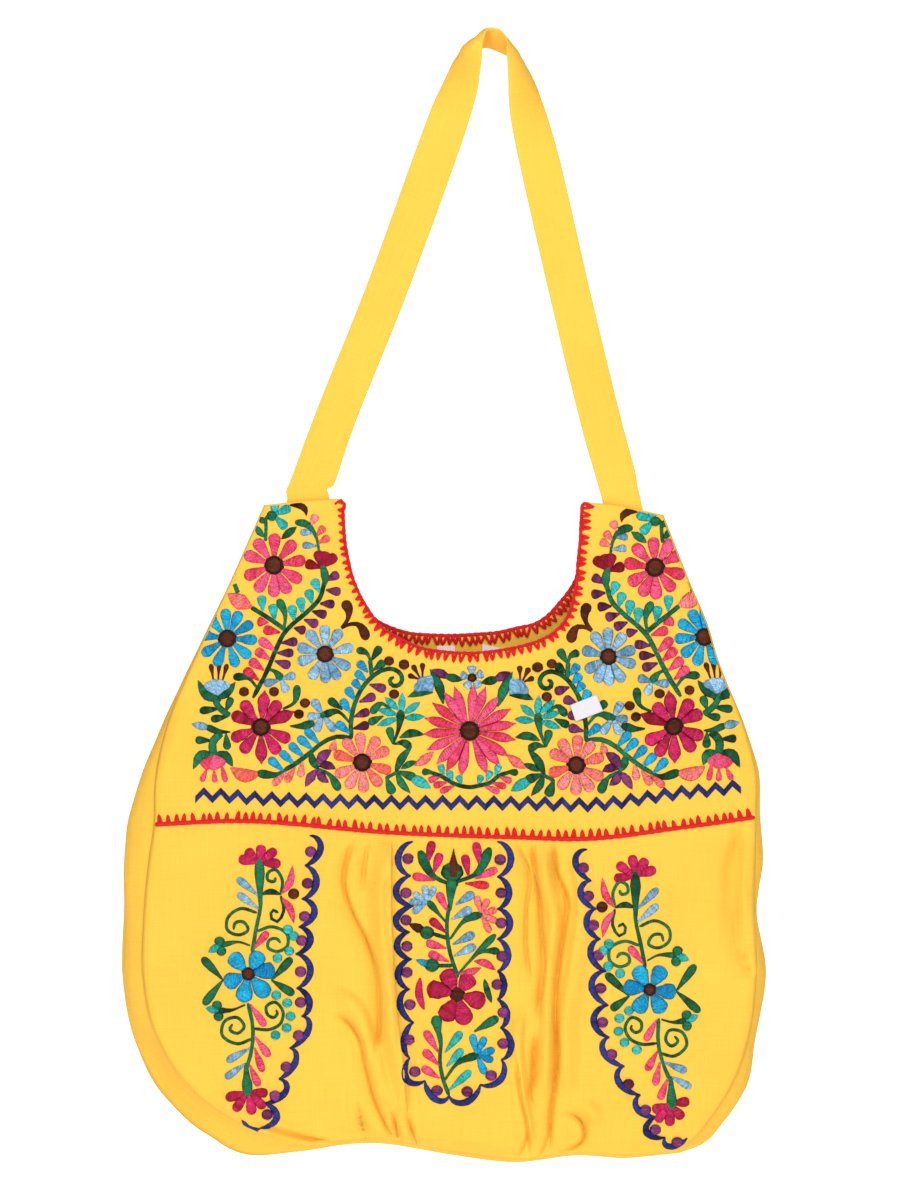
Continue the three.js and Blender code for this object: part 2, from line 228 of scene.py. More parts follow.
# Folds of the front: line in chart squares, half width, lift and lean.
FRONT_FOLDS = [
    # gathers to the left of the centre spray: creases, and the pleat that stands over its border
    (((355, 834), (346, 864), (344, 880), (351, 907), (367, 940), (375, 963), (379, 995), (379, 1030),
      (373, 1060)), 6.9, -7.7, 0.6),
    (((370, 834), (366, 857), (362, 897)), 4.4, -4.9, 0.5),
    (((391, 834), (391, 870), (391, 905), (393, 950), (397, 1008), (402, 1052), (407, 1120)), 7, 6.8, 0.85),
    (((390, 862), (390, 880), (387, 896)), 3.8, -4.2, 0.3),
    (((378, 860), (380, 920), (388, 985), (392, 1060)), 8, 5.7, 0.2),
    (((326, 1012), (345, 1018), (358, 1034), (366, 1066), (376, 1102), (386, 1124), (398, 1148)),
     7.5, -7.7, 0.5),
    (((330, 985), (356, 1005), (370, 1040), (384, 1085), (398, 1130)), 9, 4.8, 0.3),
    (((312, 905), (335, 900), (350, 912)), 11.2, -2.1, 0),
    (((357, 1096), (361, 1121), (367, 1150)), 5, -7, -0.6),
    (((388, 1100), (395, 1120), (399, 1150)), 5, -7.7, 0.3),
    (((405, 1104), (410, 1124), (420, 1152)), 4.4, -7, -0.3),
    (((412, 1116), (420, 1126), (424, 1140)), 7.5, -3.5, -0.5),
    # gathers to the right of the centre spray
    (((511, 834), (519, 850), (528, 866), (526, 912), (526, 950), (532, 985)), 8.1, -6.3, 0.75),
    (((533, 834), (534, 869), (539, 896), (541, 924), (543, 968), (539, 1000), (538, 1025)), 5.6, -7.7, 0.5),
    (((553, 834), (556, 872), (567, 901), (565, 921), (559, 960), (555, 1010), (557, 1060), (551, 1110),
      (549, 1155)), 5.6, -7.7, 0.3),
    (((543, 838), (546, 880), (553, 915), (550, 960), (547, 1030), (543, 1100)), 7, 5.7, 0),
    (((572, 845), (580, 900), (574, 950), (564, 1020), (562, 1100)), 9, 4.8, -0.4),
    (((522, 1000), (518, 1040), (524, 1100), (534, 1150)), 6, 4.8, 0.2),
    (((537, 1026), (534, 1050), (532, 1080), (529, 1094), (538, 1112)), 5.6, -7.7, 0.2),
    (((514, 1050), (520, 1094), (527, 1126), (529, 1160)), 5.6, -7, 0.5),
    (((530, 1128), (524, 1146), (516, 1164)), 5, -7, -0.4),
    (((551, 1128), (545, 1146), (537, 1164)), 5, -7, -0.4),
    (((556, 1112), (572, 1114), (582, 1123), (584, 1137), (556, 1156)), 5.6, -7, -0.4),
    (((572, 1100), (592, 1110), (598, 1135)), 7, 3.8, 0),
    # wrinkles at the left side, and the fold over the lower left corner
    (((143, 960), (163, 967), (180, 978), (200, 984)), 5, -1.6, 0.3),
    (((182, 934), (190, 948), (202, 958)), 4, -1.2, 0),
    (((252, 1122), (285, 1132), (312, 1139), (340, 1143)), 7, -7, 0.4),
    (((204, 1092), (240, 1112), (280, 1124), (320, 1130)), 9, 3, 0),
    # the long crease and the slack at the right side, and shallow hollows above the lower corners
    (((739, 822), (737, 870), (737, 910), (740, 945), (747, 967), (768, 990)), 5.5, -7.5, 0.2),
    (((737, 826), (729, 868), (728, 900), (733, 936)), 8, -4.5, -0.3),
    (((718, 835), (712, 890), (716, 940), (732, 990)), 13, 2.5, 0.2),
    (((745, 836), (743, 880), (748, 930)), 6, 2.5, 0),
    (((690, 1036), (715, 1034), (742, 1040)), 8, -1.2, 0),
    (((600, 1120), (640, 1090), (690, 1060), (730, 1030)), 14, -1.6, 0),
    (((180, 1040), (214, 1082), (258, 1112), (320, 1128)), 14, -2, 0),
    # slack in the yoke, by its sides and tabs
    (((150, 790), (172, 745), (186, 700)), 8, 2, 0),
    (((742, 800), (735, 755), (716, 705)), 8, 2, 0),
    (((640, 540), (668, 600), (690, 660)), 9, 1.2, 0),
    (((592, 530), (606, 518), (622, 512)), 4, -1, 0),
    (((590, 552), (604, 540), (616, 536)), 4, -0.8, 0),
    (((331, 506), (333, 540), (330, 575)), 5, -0.8, 0),
]
# The back has plain gathers of its own, drawn on the same chart as if seen through the front.
BACK_FOLDS = [
    (((350, 836), (356, 900), (372, 1000), (378, 1140)), 12, 5, 0.2),
    (((384, 836), (388, 920), (398, 1040), (404, 1140)), 10, -5, 0.2),
    (((524, 838), (526, 930), (520, 1040), (518, 1150)), 10, -5, -0.2),
    (((558, 838), (556, 920), (548, 1040), (546, 1150)), 12, 5, -0.2),
    (((300, 838), (304, 880), (312, 930)), 8, -3, 0),
    (((610, 838), (606, 880), (596, 940)), 8, -3, 0),
    (((450, 838), (454, 900), (452, 960)), 14, 3, 0),
]
FOLDS = {"front": FRONT_FOLDS, "back": BACK_FOLDS}
EDGE_WIDTH = 5.0
EDGE_ROUND = 2.2
# Seeds of the broad and the fine ripples, and for each kind its count, longest and shortest wave, and height.
RIPPLE_SEEDS = {"front": (3, 11), "back": (5, 17)}
BROAD_RIPPLES = (14, 150, 40, 2.0)
FINE_RIPPLES = (26, 36, 12, 0.22)
YOKE_STIFFNESS = 0.35
# Distances that folds and ripples come in over: both from the yoke seam and the tab tops, ripples from the
# side seams and the hem, and folds from the nearest edge. Among the edges, the hem counts as further off by
# a share of the distance to the side.
SEAM_CALM = 9.0
TAB_CALM = 30.0
SIDE_CALM = 14.0
HEM_CALM = (-2.0, 10.0)
FOLD_CALM = 7.0
HEM_SOFTNESS = 0.3


def depth(face, x, z):
    """Depth of a face's outer side from the middle of the bag: half depth at the seams, plus the crown,
    1 - |2 across - 1|^power, plus folds and ripples that fade to the seams, less the round of the edge."""
    across, drop = locate(x, z)
    crown = section["crown"](drop) * (1 - np.abs(2 * across - 1) ** CROWN_POWER)
    width = section["right"](drop) - section["left"](drop)
    to_side = np.minimum(across, 1 - across) * width
    to_hem = HEM_DROP - drop
    to_edge = np.where(drop > SEAM_DROP, np.minimum(to_side, to_hem + HEM_SOFTNESS * to_side), to_side)
    calm = ease(np.abs(drop - SEAM_DROP), 0, SEAM_CALM) * ease(drop, TAB_DROP, TAB_DROP + TAB_CALM)
    broad_seed, fine_seed = RIPPLE_SEEDS[face]
    uneven = ripples(x, z, broad_seed, *BROAD_RIPPLES) + ripples(x, z, fine_seed, *FINE_RIPPLES)
    stiff = np.where(drop < SEAM_DROP, YOKE_STIFFNESS, 1.0)
    uneven *= stiff * ease(to_side, 0, SIDE_CALM) * ease(to_hem, *HEM_CALM)
    height = fold_height(x, z, FOLDS[face]) * ease(to_edge, 0, FOLD_CALM)
    edge = np.clip(1 - to_edge / EDGE_WIDTH, 0, 1)
    rounded = EDGE_ROUND * (1 - np.sqrt(1 - edge**2))
    return section["seam"](drop) + crown + CLOTH / 2 + calm * (height + uneven) - rounded


def mesh_object(name, points, faces, uv=None, colours=None):
    """Object of points in mm and arrays of faces, with an optional UV in mm and colour at each point."""
    mesh = bpy.data.meshes.new(name)
    corners = np.concatenate([f.ravel() for f in faces]).astype(np.int32)
    sizes = np.concatenate([np.full(len(f), f.shape[1]) for f in faces])
    mesh.vertices.add(len(points))
    mesh.vertices.foreach_set("co", (points * MM).ravel())
    mesh.loops.add(len(corners))
    mesh.loops.foreach_set("vertex_index", corners)
    mesh.polygons.add(len(sizes))
    mesh.polygons.foreach_set("loop_start", (np.cumsum(sizes) - sizes).astype(np.int32))
    mesh.polygons.foreach_set("use_smooth", np.ones(len(sizes), bool))
    if uv is not None:
        layer = mesh.uv_layers.new(name="UVMap")
        layer.data.foreach_set("uv", (uv[corners] * MM).ravel())
    if colours is not None:
        # Point colours: the embroidery's thread tones, with painted sheen and painted shade.
        layer = mesh.color_attributes.new("thread_colour_with_painted_light", "FLOAT_COLOR", "POINT")
        layer.data.foreach_set("color", np.column_stack([colours, np.ones(len(colours))]).ravel())
    mesh.update(calc_edges=True)
    piece = bpy.data.objects.new(name, mesh)
    bpy.context.scene.collection.objects.link(piece)
    return piece


def grid_object(name, points, uv, flip=False):
    """Object of a grid of points (rows, columns, xyz in mm): one quad to each cell."""
    rows, columns = points.shape[:2]
    index = np.arange(rows * columns).reshape(rows, columns)
    corners = (index[:-1, :-1], index[1:, :-1], index[1:, 1:], index[:-1, 1:])
    quads = np.stack(corners[::-1] if flip else corners, -1).reshape(-1, 4)
    return mesh_object(name, points.reshape(-1, 3), [quads], uv.reshape(-1, 2))


def face_points(face, across, drop):
    """Outer side of the front or back at shares across and drops, as points (x, y, z)."""
    x, z = place(across, drop)
    y = depth(face, x, z)
    return np.stack([x, -y if face == "front" else y, z], -1)


# Necklines from the left tab round the bottom to the right tab, as (x, drop).
NECKS = {
    "front": [
        (-101.5, 300), (-101, 315.5), (-100, 327.5), (-98, 339), (-95, 350.5), (-91, 360), (-85, 370),
        (-76, 381), (-63.5, 388), (-49, 393.5), (-33.5, 395.5), (-17.5, 396), (-2, 394.5), (14, 391.5),
        (28, 387), (38.5, 381), (46, 372.5), (50, 362), (52.5, 350), (53.5, 337.5), (55, 324),
        (55.5, 312.5), (56.5, 300),
    ],
    "back": [
        (-102, 300), (-102, 316), (-101, 327.5), (-99, 339), (-96, 351.5), (-92, 361), (-87, 370),
        (-80, 376.5), (-70, 381), (-58.5, 384), (-44, 385), (-28, 385), (-12.5, 384), (2, 382.5),
        (14, 379.5), (25.5, 376.5), (34, 371), (41.5, 363), (48.5, 354.5), (52.5, 347.5), (54.5, 336),
        (56, 324), (56.5, 312.5), (57.5, 300),
    ],
}


def neck_line(face, count):
    """Neckline as evenly spaced x and drops."""
    return smooth_line(NECKS[face], count).T


TAB_FOOT = 0.25


def yoke_points(face, tab_count, neck_count, rows):
    """Yoke as columns that run straight from a tab top or the neckline down to the yoke seam."""
    neck_x, neck_drop = neck_line(face, neck_count)
    neck_across = across_at(neck_x, neck_drop)
    tab = np.linspace(0, 1, tab_count, endpoint=False)
    head = np.concatenate([neck_across[0] * tab, neck_across, 1 - (1 - neck_across[-1]) * tab[::-1]])
    top = np.concatenate([np.full(tab_count, TAB_DROP), neck_drop, np.full(tab_count, TAB_DROP)])
    foot = np.concatenate([
        TAB_FOOT * tab,
        np.linspace(TAB_FOOT, 1 - TAB_FOOT, neck_count),
        1 - TAB_FOOT * tab[::-1],
    ])
    share = np.linspace(0, 1, rows)[:, None]
    return face_points(face, head + (foot - head) * share, top + (SEAM_DROP - SEAM_GAP / 2 - top) * share)


class Value:
    """A shader socket that Python expressions work on: an operator on values adds a Math node."""

    def __init__(self, tree, socket):
        self.tree, self.socket = tree, socket

    def node(self, kind, inputs=None, output=0, **settings):
        """Output of a new node: its settings are set first, then the values or links of its sockets."""
        made = self.tree.nodes.new("ShaderNode" + kind)
        for name, value in settings.items():
            setattr(made, name, value)
        for key, value in (inputs or {}).items():
            if isinstance(value, Value):
                self.tree.links.new(value.socket, made.inputs[key])
            else:
                made.inputs[key].default_value = value
        return Value(self.tree, made.outputs[output])

    def math(self, operation, *values):
        return self.node("Math", dict(enumerate(values)), operation=operation)

    def __add__(self, other):
        return self.math("ADD", self, other)

    def __sub__(self, other):
        return self.math("SUBTRACT", self, other)

    def __rsub__(self, other):
        return self.math("SUBTRACT", other, self)

    def __mul__(self, other):
        return self.math("MULTIPLY", self, other)

    __radd__ = __add__
    __rmul__ = __mul__

    def sin(self):
        return self.math("SINE", self)

    def mix(self, low, high):
        """Colour from low, where this value is 0, to high, where it is 1."""
        return self.node("Mix", {0: self, 6: low, 7: high}, output=2, data_type="RGBA")

    def into(self, other, name):
        """Links this value to a named socket of the node that another value comes out of."""
        self.tree.links.new(self.socket, other.socket.node.inputs[name])


def linear(code):
    """Linear colour, with alpha 1, of a six-digit sRGB code."""
    srgb = np.array([int(code[i:i + 2], 16) for i in (0, 2, 4)]) / 255
    return (*np.where(srgb < 0.04045, srgb / 12.92, ((srgb + 0.055) / 1.055) ** 2.4), 1.0)


def finish_material(name, fixed):
    """New material: its shader's fixed values are set on their own sockets. Returns it and the shader."""
    material = bpy.data.materials.new(name)
    material.use_nodes = True
    tree = material.node_tree
    shader = Value(tree, tree.nodes["Principled BSDF"].outputs[0])
    for socket, value in fixed.items():
        shader.socket.node.inputs[socket].default_value = value
    return material, shader


# Stretch of the noise along each set of yarns, the weave in radians to a metre, the share of cloud and weft
# in the colour, and those of slubs and weave in the bump.
WARP_SLUBS = (1000.0, 40.0, 1.0)
WEFT_SLUBS = (40.0, 1000.0, 1.0)
WEAVE_RATE = 9000.0
TONE_SHARE = 0.9
SLUB_SHARE = 0.7
WEAVE_SHARE = 0.3


def cotton(name, bright, deep):
    """Plain-woven cotton: a faint cloudiness of two yellows, slubs along warp and weft, and a fine weave in
    the bump."""
    material, shader = finish_material(name, {"Roughness": 0.85, "Specular IOR Level": 0.15})
    uv = shader.node("TexCoord", output="UV")
    cloud = shader.node("TexNoise", {"Vector": uv, "Scale": 14.0, "Detail": 3.0}, output="Fac")

    def slubs(scale):
        stretched = shader.node("Mapping", {"Vector": uv, "Scale": scale})
        return shader.node("TexNoise", {"Vector": stretched, "Scale": 1.0, "Detail": 2.0}, output="Fac")

    def yarns(axis):
        return (shader.node("SeparateXYZ", {"Vector": uv}, output=axis) * WEAVE_RATE).sin()

    warp, weft = slubs(WARP_SLUBS), slubs(WEFT_SLUBS)
    tone = (cloud + weft - 1.0) * TONE_SHARE + warp
    tone.mix(linear(deep), linear(bright)).into(shader, "Base Color")
    height = (warp + weft) * SLUB_SHARE + yarns("X") * yarns("Y") * WEAVE_SHARE
    shader.node("Bump", {"Height": height, "Strength": 0.35, "Distance": 0.0004}).into(shader, "Normal")
    return material


yellow_cotton = cotton("yellow_cotton", "F5C44C", "EFB740")


def dress(piece, material, thickness=None):
    """Gives a piece its material, an inward cloth thickness if it has one, and lets it ride the bag."""
    piece.data.materials.append(material)
    if thickness:
        solid = piece.modifiers.new("thickness", "SOLIDIFY")
        solid.thickness = thickness * MM
        solid.offset = -1
        solid.use_even_offset = False
    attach(piece, "root")
    return piece


def cloth_uv(points):
    """UV of a hanging piece: x and z as they are, in mm."""
    return points[..., (0, 2)]


def cotton_piece(name, points, uv, flip=False):
    """A piece of the yellow cotton, as thick as the cloth."""
    return dress(grid_object(name, points, uv, flip), yellow_cotton, CLOTH)


points = yoke_points("front", tab_count=44, neck_count=150, rows=130)
front_yoke = cotton_piece("front_yoke_cloth", points, cloth_uv(points))
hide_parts("front_yoke")

# Front lower panel
# The lower front is one piece of the same cotton, gathered into the yoke seam on both sides of the centre
# spray, and sewn to the gusset round its sides and along its hem.

GATHERS = ((0.31, 0.46), (0.58, 0.74))
GATHER_BLEND = 0.03
GATHER_CROWDING = 3.5
HEM_CROWDING = 1.25
PANEL_STEPS = 2001


def panel_points(face, columns, rows):
    """Lower panel: columns that crowd into the two gathers, and rows that crowd towards the rounded hem."""
    even = np.linspace(0, 1, PANEL_STEPS)
    crowd = np.ones(PANEL_STEPS)
    for low, high in GATHERS:
        gathered = ease(even, low - GATHER_BLEND, low) * (1 - ease(even, high, high + GATHER_BLEND))
        crowd += GATHER_CROWDING * gathered
    reach = np.cumsum(crowd) - crowd[0]
    share = 1 - (1 - np.linspace(0, 1, rows)[:, None]) ** HEM_CROWDING
    across = np.interp(np.linspace(0, reach[-1], columns), reach, even)[None] + 0 * share
    return face_points(face, across, SEAM_DROP + SEAM_GAP / 2 + (HEM_DROP - SEAM_DROP) * share + 0 * across)


points = panel_points("front", columns=316, rows=150)
front_panel = cotton_piece("front_panel_cloth", points, cloth_uv(points))
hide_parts("front_panel")

# Back yoke and back lower panel
# The back repeats the front in plain cotton, and its neckline is a little higher.

points = yoke_points("back", tab_count=30, neck_count=110, rows=90)
back_yoke = cotton_piece("back_yoke_cloth", points, cloth_uv(points), flip=True)
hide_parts("back_yoke")

points = panel_points("back", columns=220, rows=120)
back_panel = cotton_piece("back_panel_cloth", points, cloth_uv(points), flip=True)
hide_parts("back_panel")

# Gusset
# One strip of cotton runs down the left side, under the bag and up the right side between front and back.
# It swells outwards, most of all at the left, and its two long edges are sewn into the side seams and hems.

GUSSET_GROOVE = 4.0
GUSSET_CROWDING = 1.4
GUSSET_SMOOTHING = 9
# Seed, count, longest and shortest wave and height of the creases, what half the strip's width counts as in
# them, and the swell at which they are full. Then the drops that the lower left corner comes in over, the
# shares across that it goes out over, and the share of a plain slope in its rim.
GUSSET_CREASES = (23, 16, 120, 24, 0.9)
CREASE_SPREAD = 40.0
CREASE_SWELL = 3.0
CORNER_DROP = (625, 675)
CORNER_ACROSS = (0.15, 0.4)
CORNER_WALL = 0.12


def outline(side_count, hem_count):
    """Shares across and drops along the seam: down the left side, along the hem and up the right side."""
    to_go = 1 - np.linspace(0, 1, side_count, endpoint=False)
    down = TAB_DROP + (HEM_DROP - TAB_DROP) * (1 - to_go**GUSSET_CROWDING)
    hem = np.linspace(0, 1, hem_count)
    across = np.concatenate([np.zeros(side_count), hem, np.ones(side_count)])
    drop = np.concatenate([down, np.full(hem_count, HEM_DROP), down[::-1]])
    return across, drop


def gusset_points(side_count, hem_count, width_count):
    """Gusset: the seam line moved outwards by the swell (1 - reach^2), with soft creases, from front to
    back. Its edges are drawn in behind the seams, and at the lower left corner it falls back steeply before
    it swells to a rim."""
    across, drop = outline(side_count, hem_count)
    x, z = place(across, drop)
    along = np.stack([np.gradient(x), np.gradient(z)], -1)
    padded = np.pad(along, ((GUSSET_SMOOTHING // 2,) * 2, (0, 0)), "edge")
    mean = np.ones(GUSSET_SMOOTHING) / GUSSET_SMOOTHING
    along = np.stack([np.convolve(column, mean, "valid") for column in padded.T], -1)
    along /= np.linalg.norm(along, axis=1, keepdims=True)
    outward = np.stack([along[:, 1], -along[:, 0]], -1)
    length = np.concatenate([[0], np.cumsum(np.hypot(np.diff(x), np.diff(z)))])
    reach = np.linspace(-1, 1, width_count)[:, None]
    swell_left, swell_right = section["bulge_left"](drop), section["bulge_right"](drop)
    swell = swell_left + (swell_right - swell_left) * across
    crease = ripples(length + 0 * reach, CREASE_SPREAD * reach + 0 * length, *GUSSET_CREASES)
    corner = ease(drop, *CORNER_DROP) * (1 - ease(across, *CORNER_ACROSS))
    inward = 1 - np.abs(reach)
    rim = CORNER_WALL * inward + (1 - CORNER_WALL) * inward**3
    lobe = (1 - reach**2) * (1 - corner) + rim * corner
    groove = GUSSET_GROOVE * (1 - corner)
    out = swell * lobe - groove * reach**6 + crease * (1 - reach**4) * ease(swell, 0, CREASE_SWELL)
    half = section["seam"](drop) - CLOTH / 2 - SEAM_GAP
    points = np.stack([x + outward[:, 0] * out, half * reach + 0 * x, z + outward[:, 1] * out], -1)
    return points, np.stack([half * reach + 0 * x, length + 0 * reach], -1)


points, uv = gusset_points(side_count=150, hem_count=90, width_count=25)
gusset = cotton_piece("gusset_cloth", points, uv)
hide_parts("gusset")

# Strap
# A flat band of folded cotton: its ends are sewn in between the tabs, and at the top it lies over the peg,
# where its outer edge swings back so that its underside shows.

STRAP_WIDTH = 26.0
STRAP_THICK = 2.0
# Powers of the cosine and the sine that round the edges of the slab.
SLAB_WIDE = 0.45
SLAB_THICK = 0.7
# The inner edge (x, z), the outer edge (x, z), and how far the middle line is moved off halfway between them.
STRAP_ROWS = np.array([
    (-110, -313, -138, -313, 0, 0),
    (-110, -296.5, -138, -296.5, 0, 0),
    (-111.5, -290, -138.5, -291.5, 0, 0),
    (-108.5, -288.5, -137.5, -288.5, 0, 0),
    (-105.5, -283, -135, -282.5, 0, 0),
    (-92.5, -245, -117.5, -235.5, 0, 0),
    (-61, -166.5, -86, -157, 0, 0),
    (-32, -88, -57.5, -78.5, 0, 0),
    (-18.5, -48.5, -43.5, -40.5, 0, 0),
    (-13, -29, -36, -24, 0, 0),
    (-11.5, -18.5, -32, -15.5, 0, 0),
    (-10, -8, -27.8, -7.4, -1.5, 0.5),
    (-9.5, 0, -20.8, -0.8, -5, 2.2),
    (-8, 8, -11, 0, -3.5, 3),
    (-6, 11.5, -7, 0.5, -1.5, 3.5),
    (-2, 12.5, -3.5, 0, 0, 0),
    (3, 10.5, 1.5, -2, 0, 0),
    (6.5, 4, 7.5, -5, 1.5, 3),
    (6.5, -4.5, 13.5, -9, 4, 3),
    (7, -12.5, 20, -13.5, 3, 0.5),
    (7.5, -24.5, 25.5, -23.5, 2, 0),
    (8, -37.5, 30, -35.5, 0.5, 0),
    (10.5, -55, 35, -50.5, 0, 0),
    (17.5, -88, 43.5, -82, 0, 0),
    (35.5, -166.5, 61.5, -160.5, 0, 0),
    (54.5, -245, 80.5, -239, 0, 0),
    (64.5, -280.5, 90.5, -276.5, 0, 0),
    (66.5, -287.5, 92.5, -288, 0, 0),
    (70, -301.5, 96, -304, 0, 0),
    (70, -317, 96.5, -317, 0, 0),
])


def strap_rings(length_count, width_count):
    """Strap as one closed tube. Across it, a curve through the outer edge, the middle line and the inner
    edge; each edge stands off the middle by what is left of half the width, the inner one to the front. A
    rounded slab goes round that curve. After each point's place come its distances across and along the
    strap."""
    inner, outer, bow = STRAP_ROWS[:, 0:2], STRAP_ROWS[:, 2:4], STRAP_ROWS[:, 4:6]
    middle = (inner + outer) / 2 + bow
    inner_depth, outer_depth = [np.sqrt(np.maximum(0, STRAP_WIDTH**2 / 4 - ((edge - middle) ** 2).sum(1)))
                                for edge in (inner, outer)]
    keys = np.arange(len(STRAP_ROWS))
    place_at = np.interp(np.linspace(0, 1, length_count), keys / keys[-1], keys)
    lines = [spline(keys, np.stack([line[:, 0], y, line[:, 1]], -1))(place_at)[:, None]
             for line, y in ((outer, outer_depth), (middle, 0 * keys), (inner, -inner_depth))]
    turn = np.linspace(0, 2 * np.pi, width_count, endpoint=False)
    wide = np.sign(np.cos(turn)) * np.abs(np.cos(turn)) ** SLAB_WIDE
    thick = np.sign(np.sin(turn)) * np.abs(np.sin(turn)) ** SLAB_THICK * STRAP_THICK / 2
    u = wide[None, :, None]
    middle = lines[0] * u * (u - 1) / 2 + lines[1] * (1 - u * u) + lines[2] * u * (u + 1) / 2
    across = lines[0] * (u - 0.5) - 2 * lines[1] * u + lines[2] * (u + 0.5)
    out = np.cross(np.gradient(middle, axis=0), across)
    out /= np.linalg.norm(out, axis=2, keepdims=True)
    steps = np.linalg.norm(np.diff(lines[1][:, 0], axis=0), axis=1)
    length = np.concatenate([[0], np.cumsum(steps)])[:, None]
    places = np.stack([wide * STRAP_WIDTH / 2 + 0 * length, length + 0 * wide], -1)
    return np.concatenate([middle + thick[:, None] * out, places], -1)[None]


def tube_object(name, *batches):
    """One object of closed tubes. A batch holds rings (tube, station, place round it, values), whose values
    are x, y, z, then UV, then colour if there is one. Quads join each ring to the next, and triangles close
    an end to its middle."""
    points, quads, triangles, start = [], [], [], 0
    for rings in batches:
        count, stations, around = rings.shape[:3]
        poles = rings[:, (0, -1)].mean(2)
        each = stations * around + 2
        index = np.arange(stations * around).reshape(stations, around)
        after = np.roll(index, -1, axis=1)
        sides = np.stack([index[:-1], after[:-1], after[1:], index[1:]], -1).reshape(-1, 4)
        first = np.stack([after[0], index[0], np.full(around, each - 2)], -1)
        last = np.stack([index[-1], after[-1], np.full(around, each - 1)], -1)
        offsets = start + each * np.arange(count)[:, None, None]
        skin = rings.reshape(count, stations * around, -1)
        points.append(np.concatenate([skin, poles], 1).reshape(-1, rings.shape[-1]))
        quads.append((sides + offsets).reshape(-1, 4))
        triangles.append((np.concatenate([first, last]) + offsets).reshape(-1, 3))
        start += each * count
    values = np.concatenate(points)
    faces = [np.concatenate(quads), np.concatenate(triangles)]
    colours = values[:, 5:] if values.shape[1] > 5 else None
    return mesh_object(name, values[:, :3], faces, values[:, 3:5], colours)


rings = strap_rings(length_count=420, width_count=40)
strap = dress(tube_object("strap_cloth", rings), yellow_cotton)
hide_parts("strap")

# Red stitching
# Thick red yarn binds both necklines and runs along both yoke seams: a lumpy roll on the edge, and blanket
# stitches that reach from it into the cloth as narrow loops, on both sides of the necklines.

ROLL_RADIUS = 1.4
ROLL_SIDES = 8
ROLL_SWELL = 0.1
ROLL_LUMPS = 0.05
LOOP_RADIUS = 0.98
LOOP_SIDES = 5
LOOP_POINTS = 9
HALF_STITCH = 0.6
# How far a stitch strays from its even place, length and width, as shares, and the powers of its rounded tip.
PLACE_STRAY = 0.2
LENGTH_STRAY = 0.12
WIDTH_STRAY = 0.2
TIP_POWERS = (1.2, 0.9)


def yarn_rings(paths, radius, around):
    """Round yarn along paths (tube, station, xyz): a ring of points about each station, square to the path.
    After each point's place come its distances round and along the yarn."""
    along = np.gradient(paths, axis=1)
    along /= np.linalg.norm(along, axis=2, keepdims=True)
    side = np.cross(along, (0, 1, 0))
    side /= np.linalg.norm(side, axis=2, keepdims=True)
    up = np.cross(along, side)
    turn = np.linspace(0, 2 * np.pi, around, endpoint=False)[:, None]
    radius = np.broadcast_to(radius, paths.shape[:2])[..., None, None]
    points = paths[:, :, None] + radius * (np.cos(turn) * side[:, :, None] + np.sin(turn) * up[:, :, None])
    steps = np.linalg.norm(np.diff(paths, axis=1), axis=2)
    length = np.concatenate([np.zeros((len(paths), 1)), np.cumsum(steps, axis=1)], 1)
    round_it = turn * radius + 0 * points[..., :1]
    return np.concatenate([points, round_it, length[..., None, None] + 0 * round_it], -1)


def edge_roll(face, line, inset, lump, seed):
    """Roll of yarn along a line (x, z): it lies at a depth below the face's outer side, and swells at each
    stitch."""
    rng = np.random.default_rng(seed)
    x, z = line.T
    y = depth(face, x, z) - inset
    length = np.concatenate([[0], np.cumsum(np.hypot(np.diff(x), np.diff(z)))])
    swell = 1 + ROLL_SWELL * np.sin(2 * np.pi * length / lump) + ROLL_LUMPS * rng.standard_normal(len(x))
    path = np.stack([x, -y if face == "front" else y, z], -1)
    return yarn_rings(path[None], ROLL_RADIUS * swell, ROLL_SIDES)


def loops(face, line, into, layers, pitch, lengths, spread, seed):
    """Blanket stitches along a line (x, z): hairpins whose legs start on the line and meet inside the
    cloth's face, at the side that into picks. Layers are the heights above the outer side that they are
    repeated at, lengths run from one end of the line to the other, and half the width of a stitch is
    HALF_STITCH and a spread times its length."""
    rng = np.random.default_rng(seed)
    reach = np.concatenate([[0], np.cumsum(np.linalg.norm(np.diff(line, axis=0), axis=1))])
    count = int(reach[-1] / pitch)
    place_at = (np.arange(count) + 0.5 + rng.uniform(-PLACE_STRAY, PLACE_STRAY, count)) * reach[-1] / count
    long = spline(np.linspace(0, 1, len(lengths)), lengths)(place_at / reach[-1])
    long = long * rng.uniform(1 - LENGTH_STRAY, 1 + LENGTH_STRAY, count)
    lean = rng.uniform(-1, 1, count)
    t = np.linspace(-1, 1, LOOP_POINTS)
    wide = (HALF_STITCH + spread * long) * rng.uniform(1 - WIDTH_STRAY, 1 + WIDTH_STRAY, count)
    spot = place_at[:, None] + wide[:, None] * t + lean[:, None] * (1 - np.abs(t))
    edge = np.stack([np.interp(spot, reach, line[:, i]) for i in (0, 1)], -1)
    along = np.gradient(line, reach, axis=0)
    along = np.stack([np.interp(place_at, reach, along[:, i]) for i in (0, 1)], -1)
    along /= np.linalg.norm(along, axis=1, keepdims=True)
    inward = into * np.stack([-along[:, 1], along[:, 0]], -1)
    tip = (1 - np.abs(t) ** TIP_POWERS[0]) ** TIP_POWERS[1]
    flat = edge + inward[:, None] * (long[:, None] * tip)[..., None]
    batches = []
    for layer in layers:
        y = depth(face, flat[..., 0], flat[..., 1]) + layer
        path = np.stack([flat[..., 0], -y if face == "front" else y, flat[..., 1]], -1)
        batches.append(yarn_rings(path, LOOP_RADIUS, LOOP_SIDES))
    return batches


FIBRE_CONTRAST = 1.6
FIBRE_DROP = 0.3


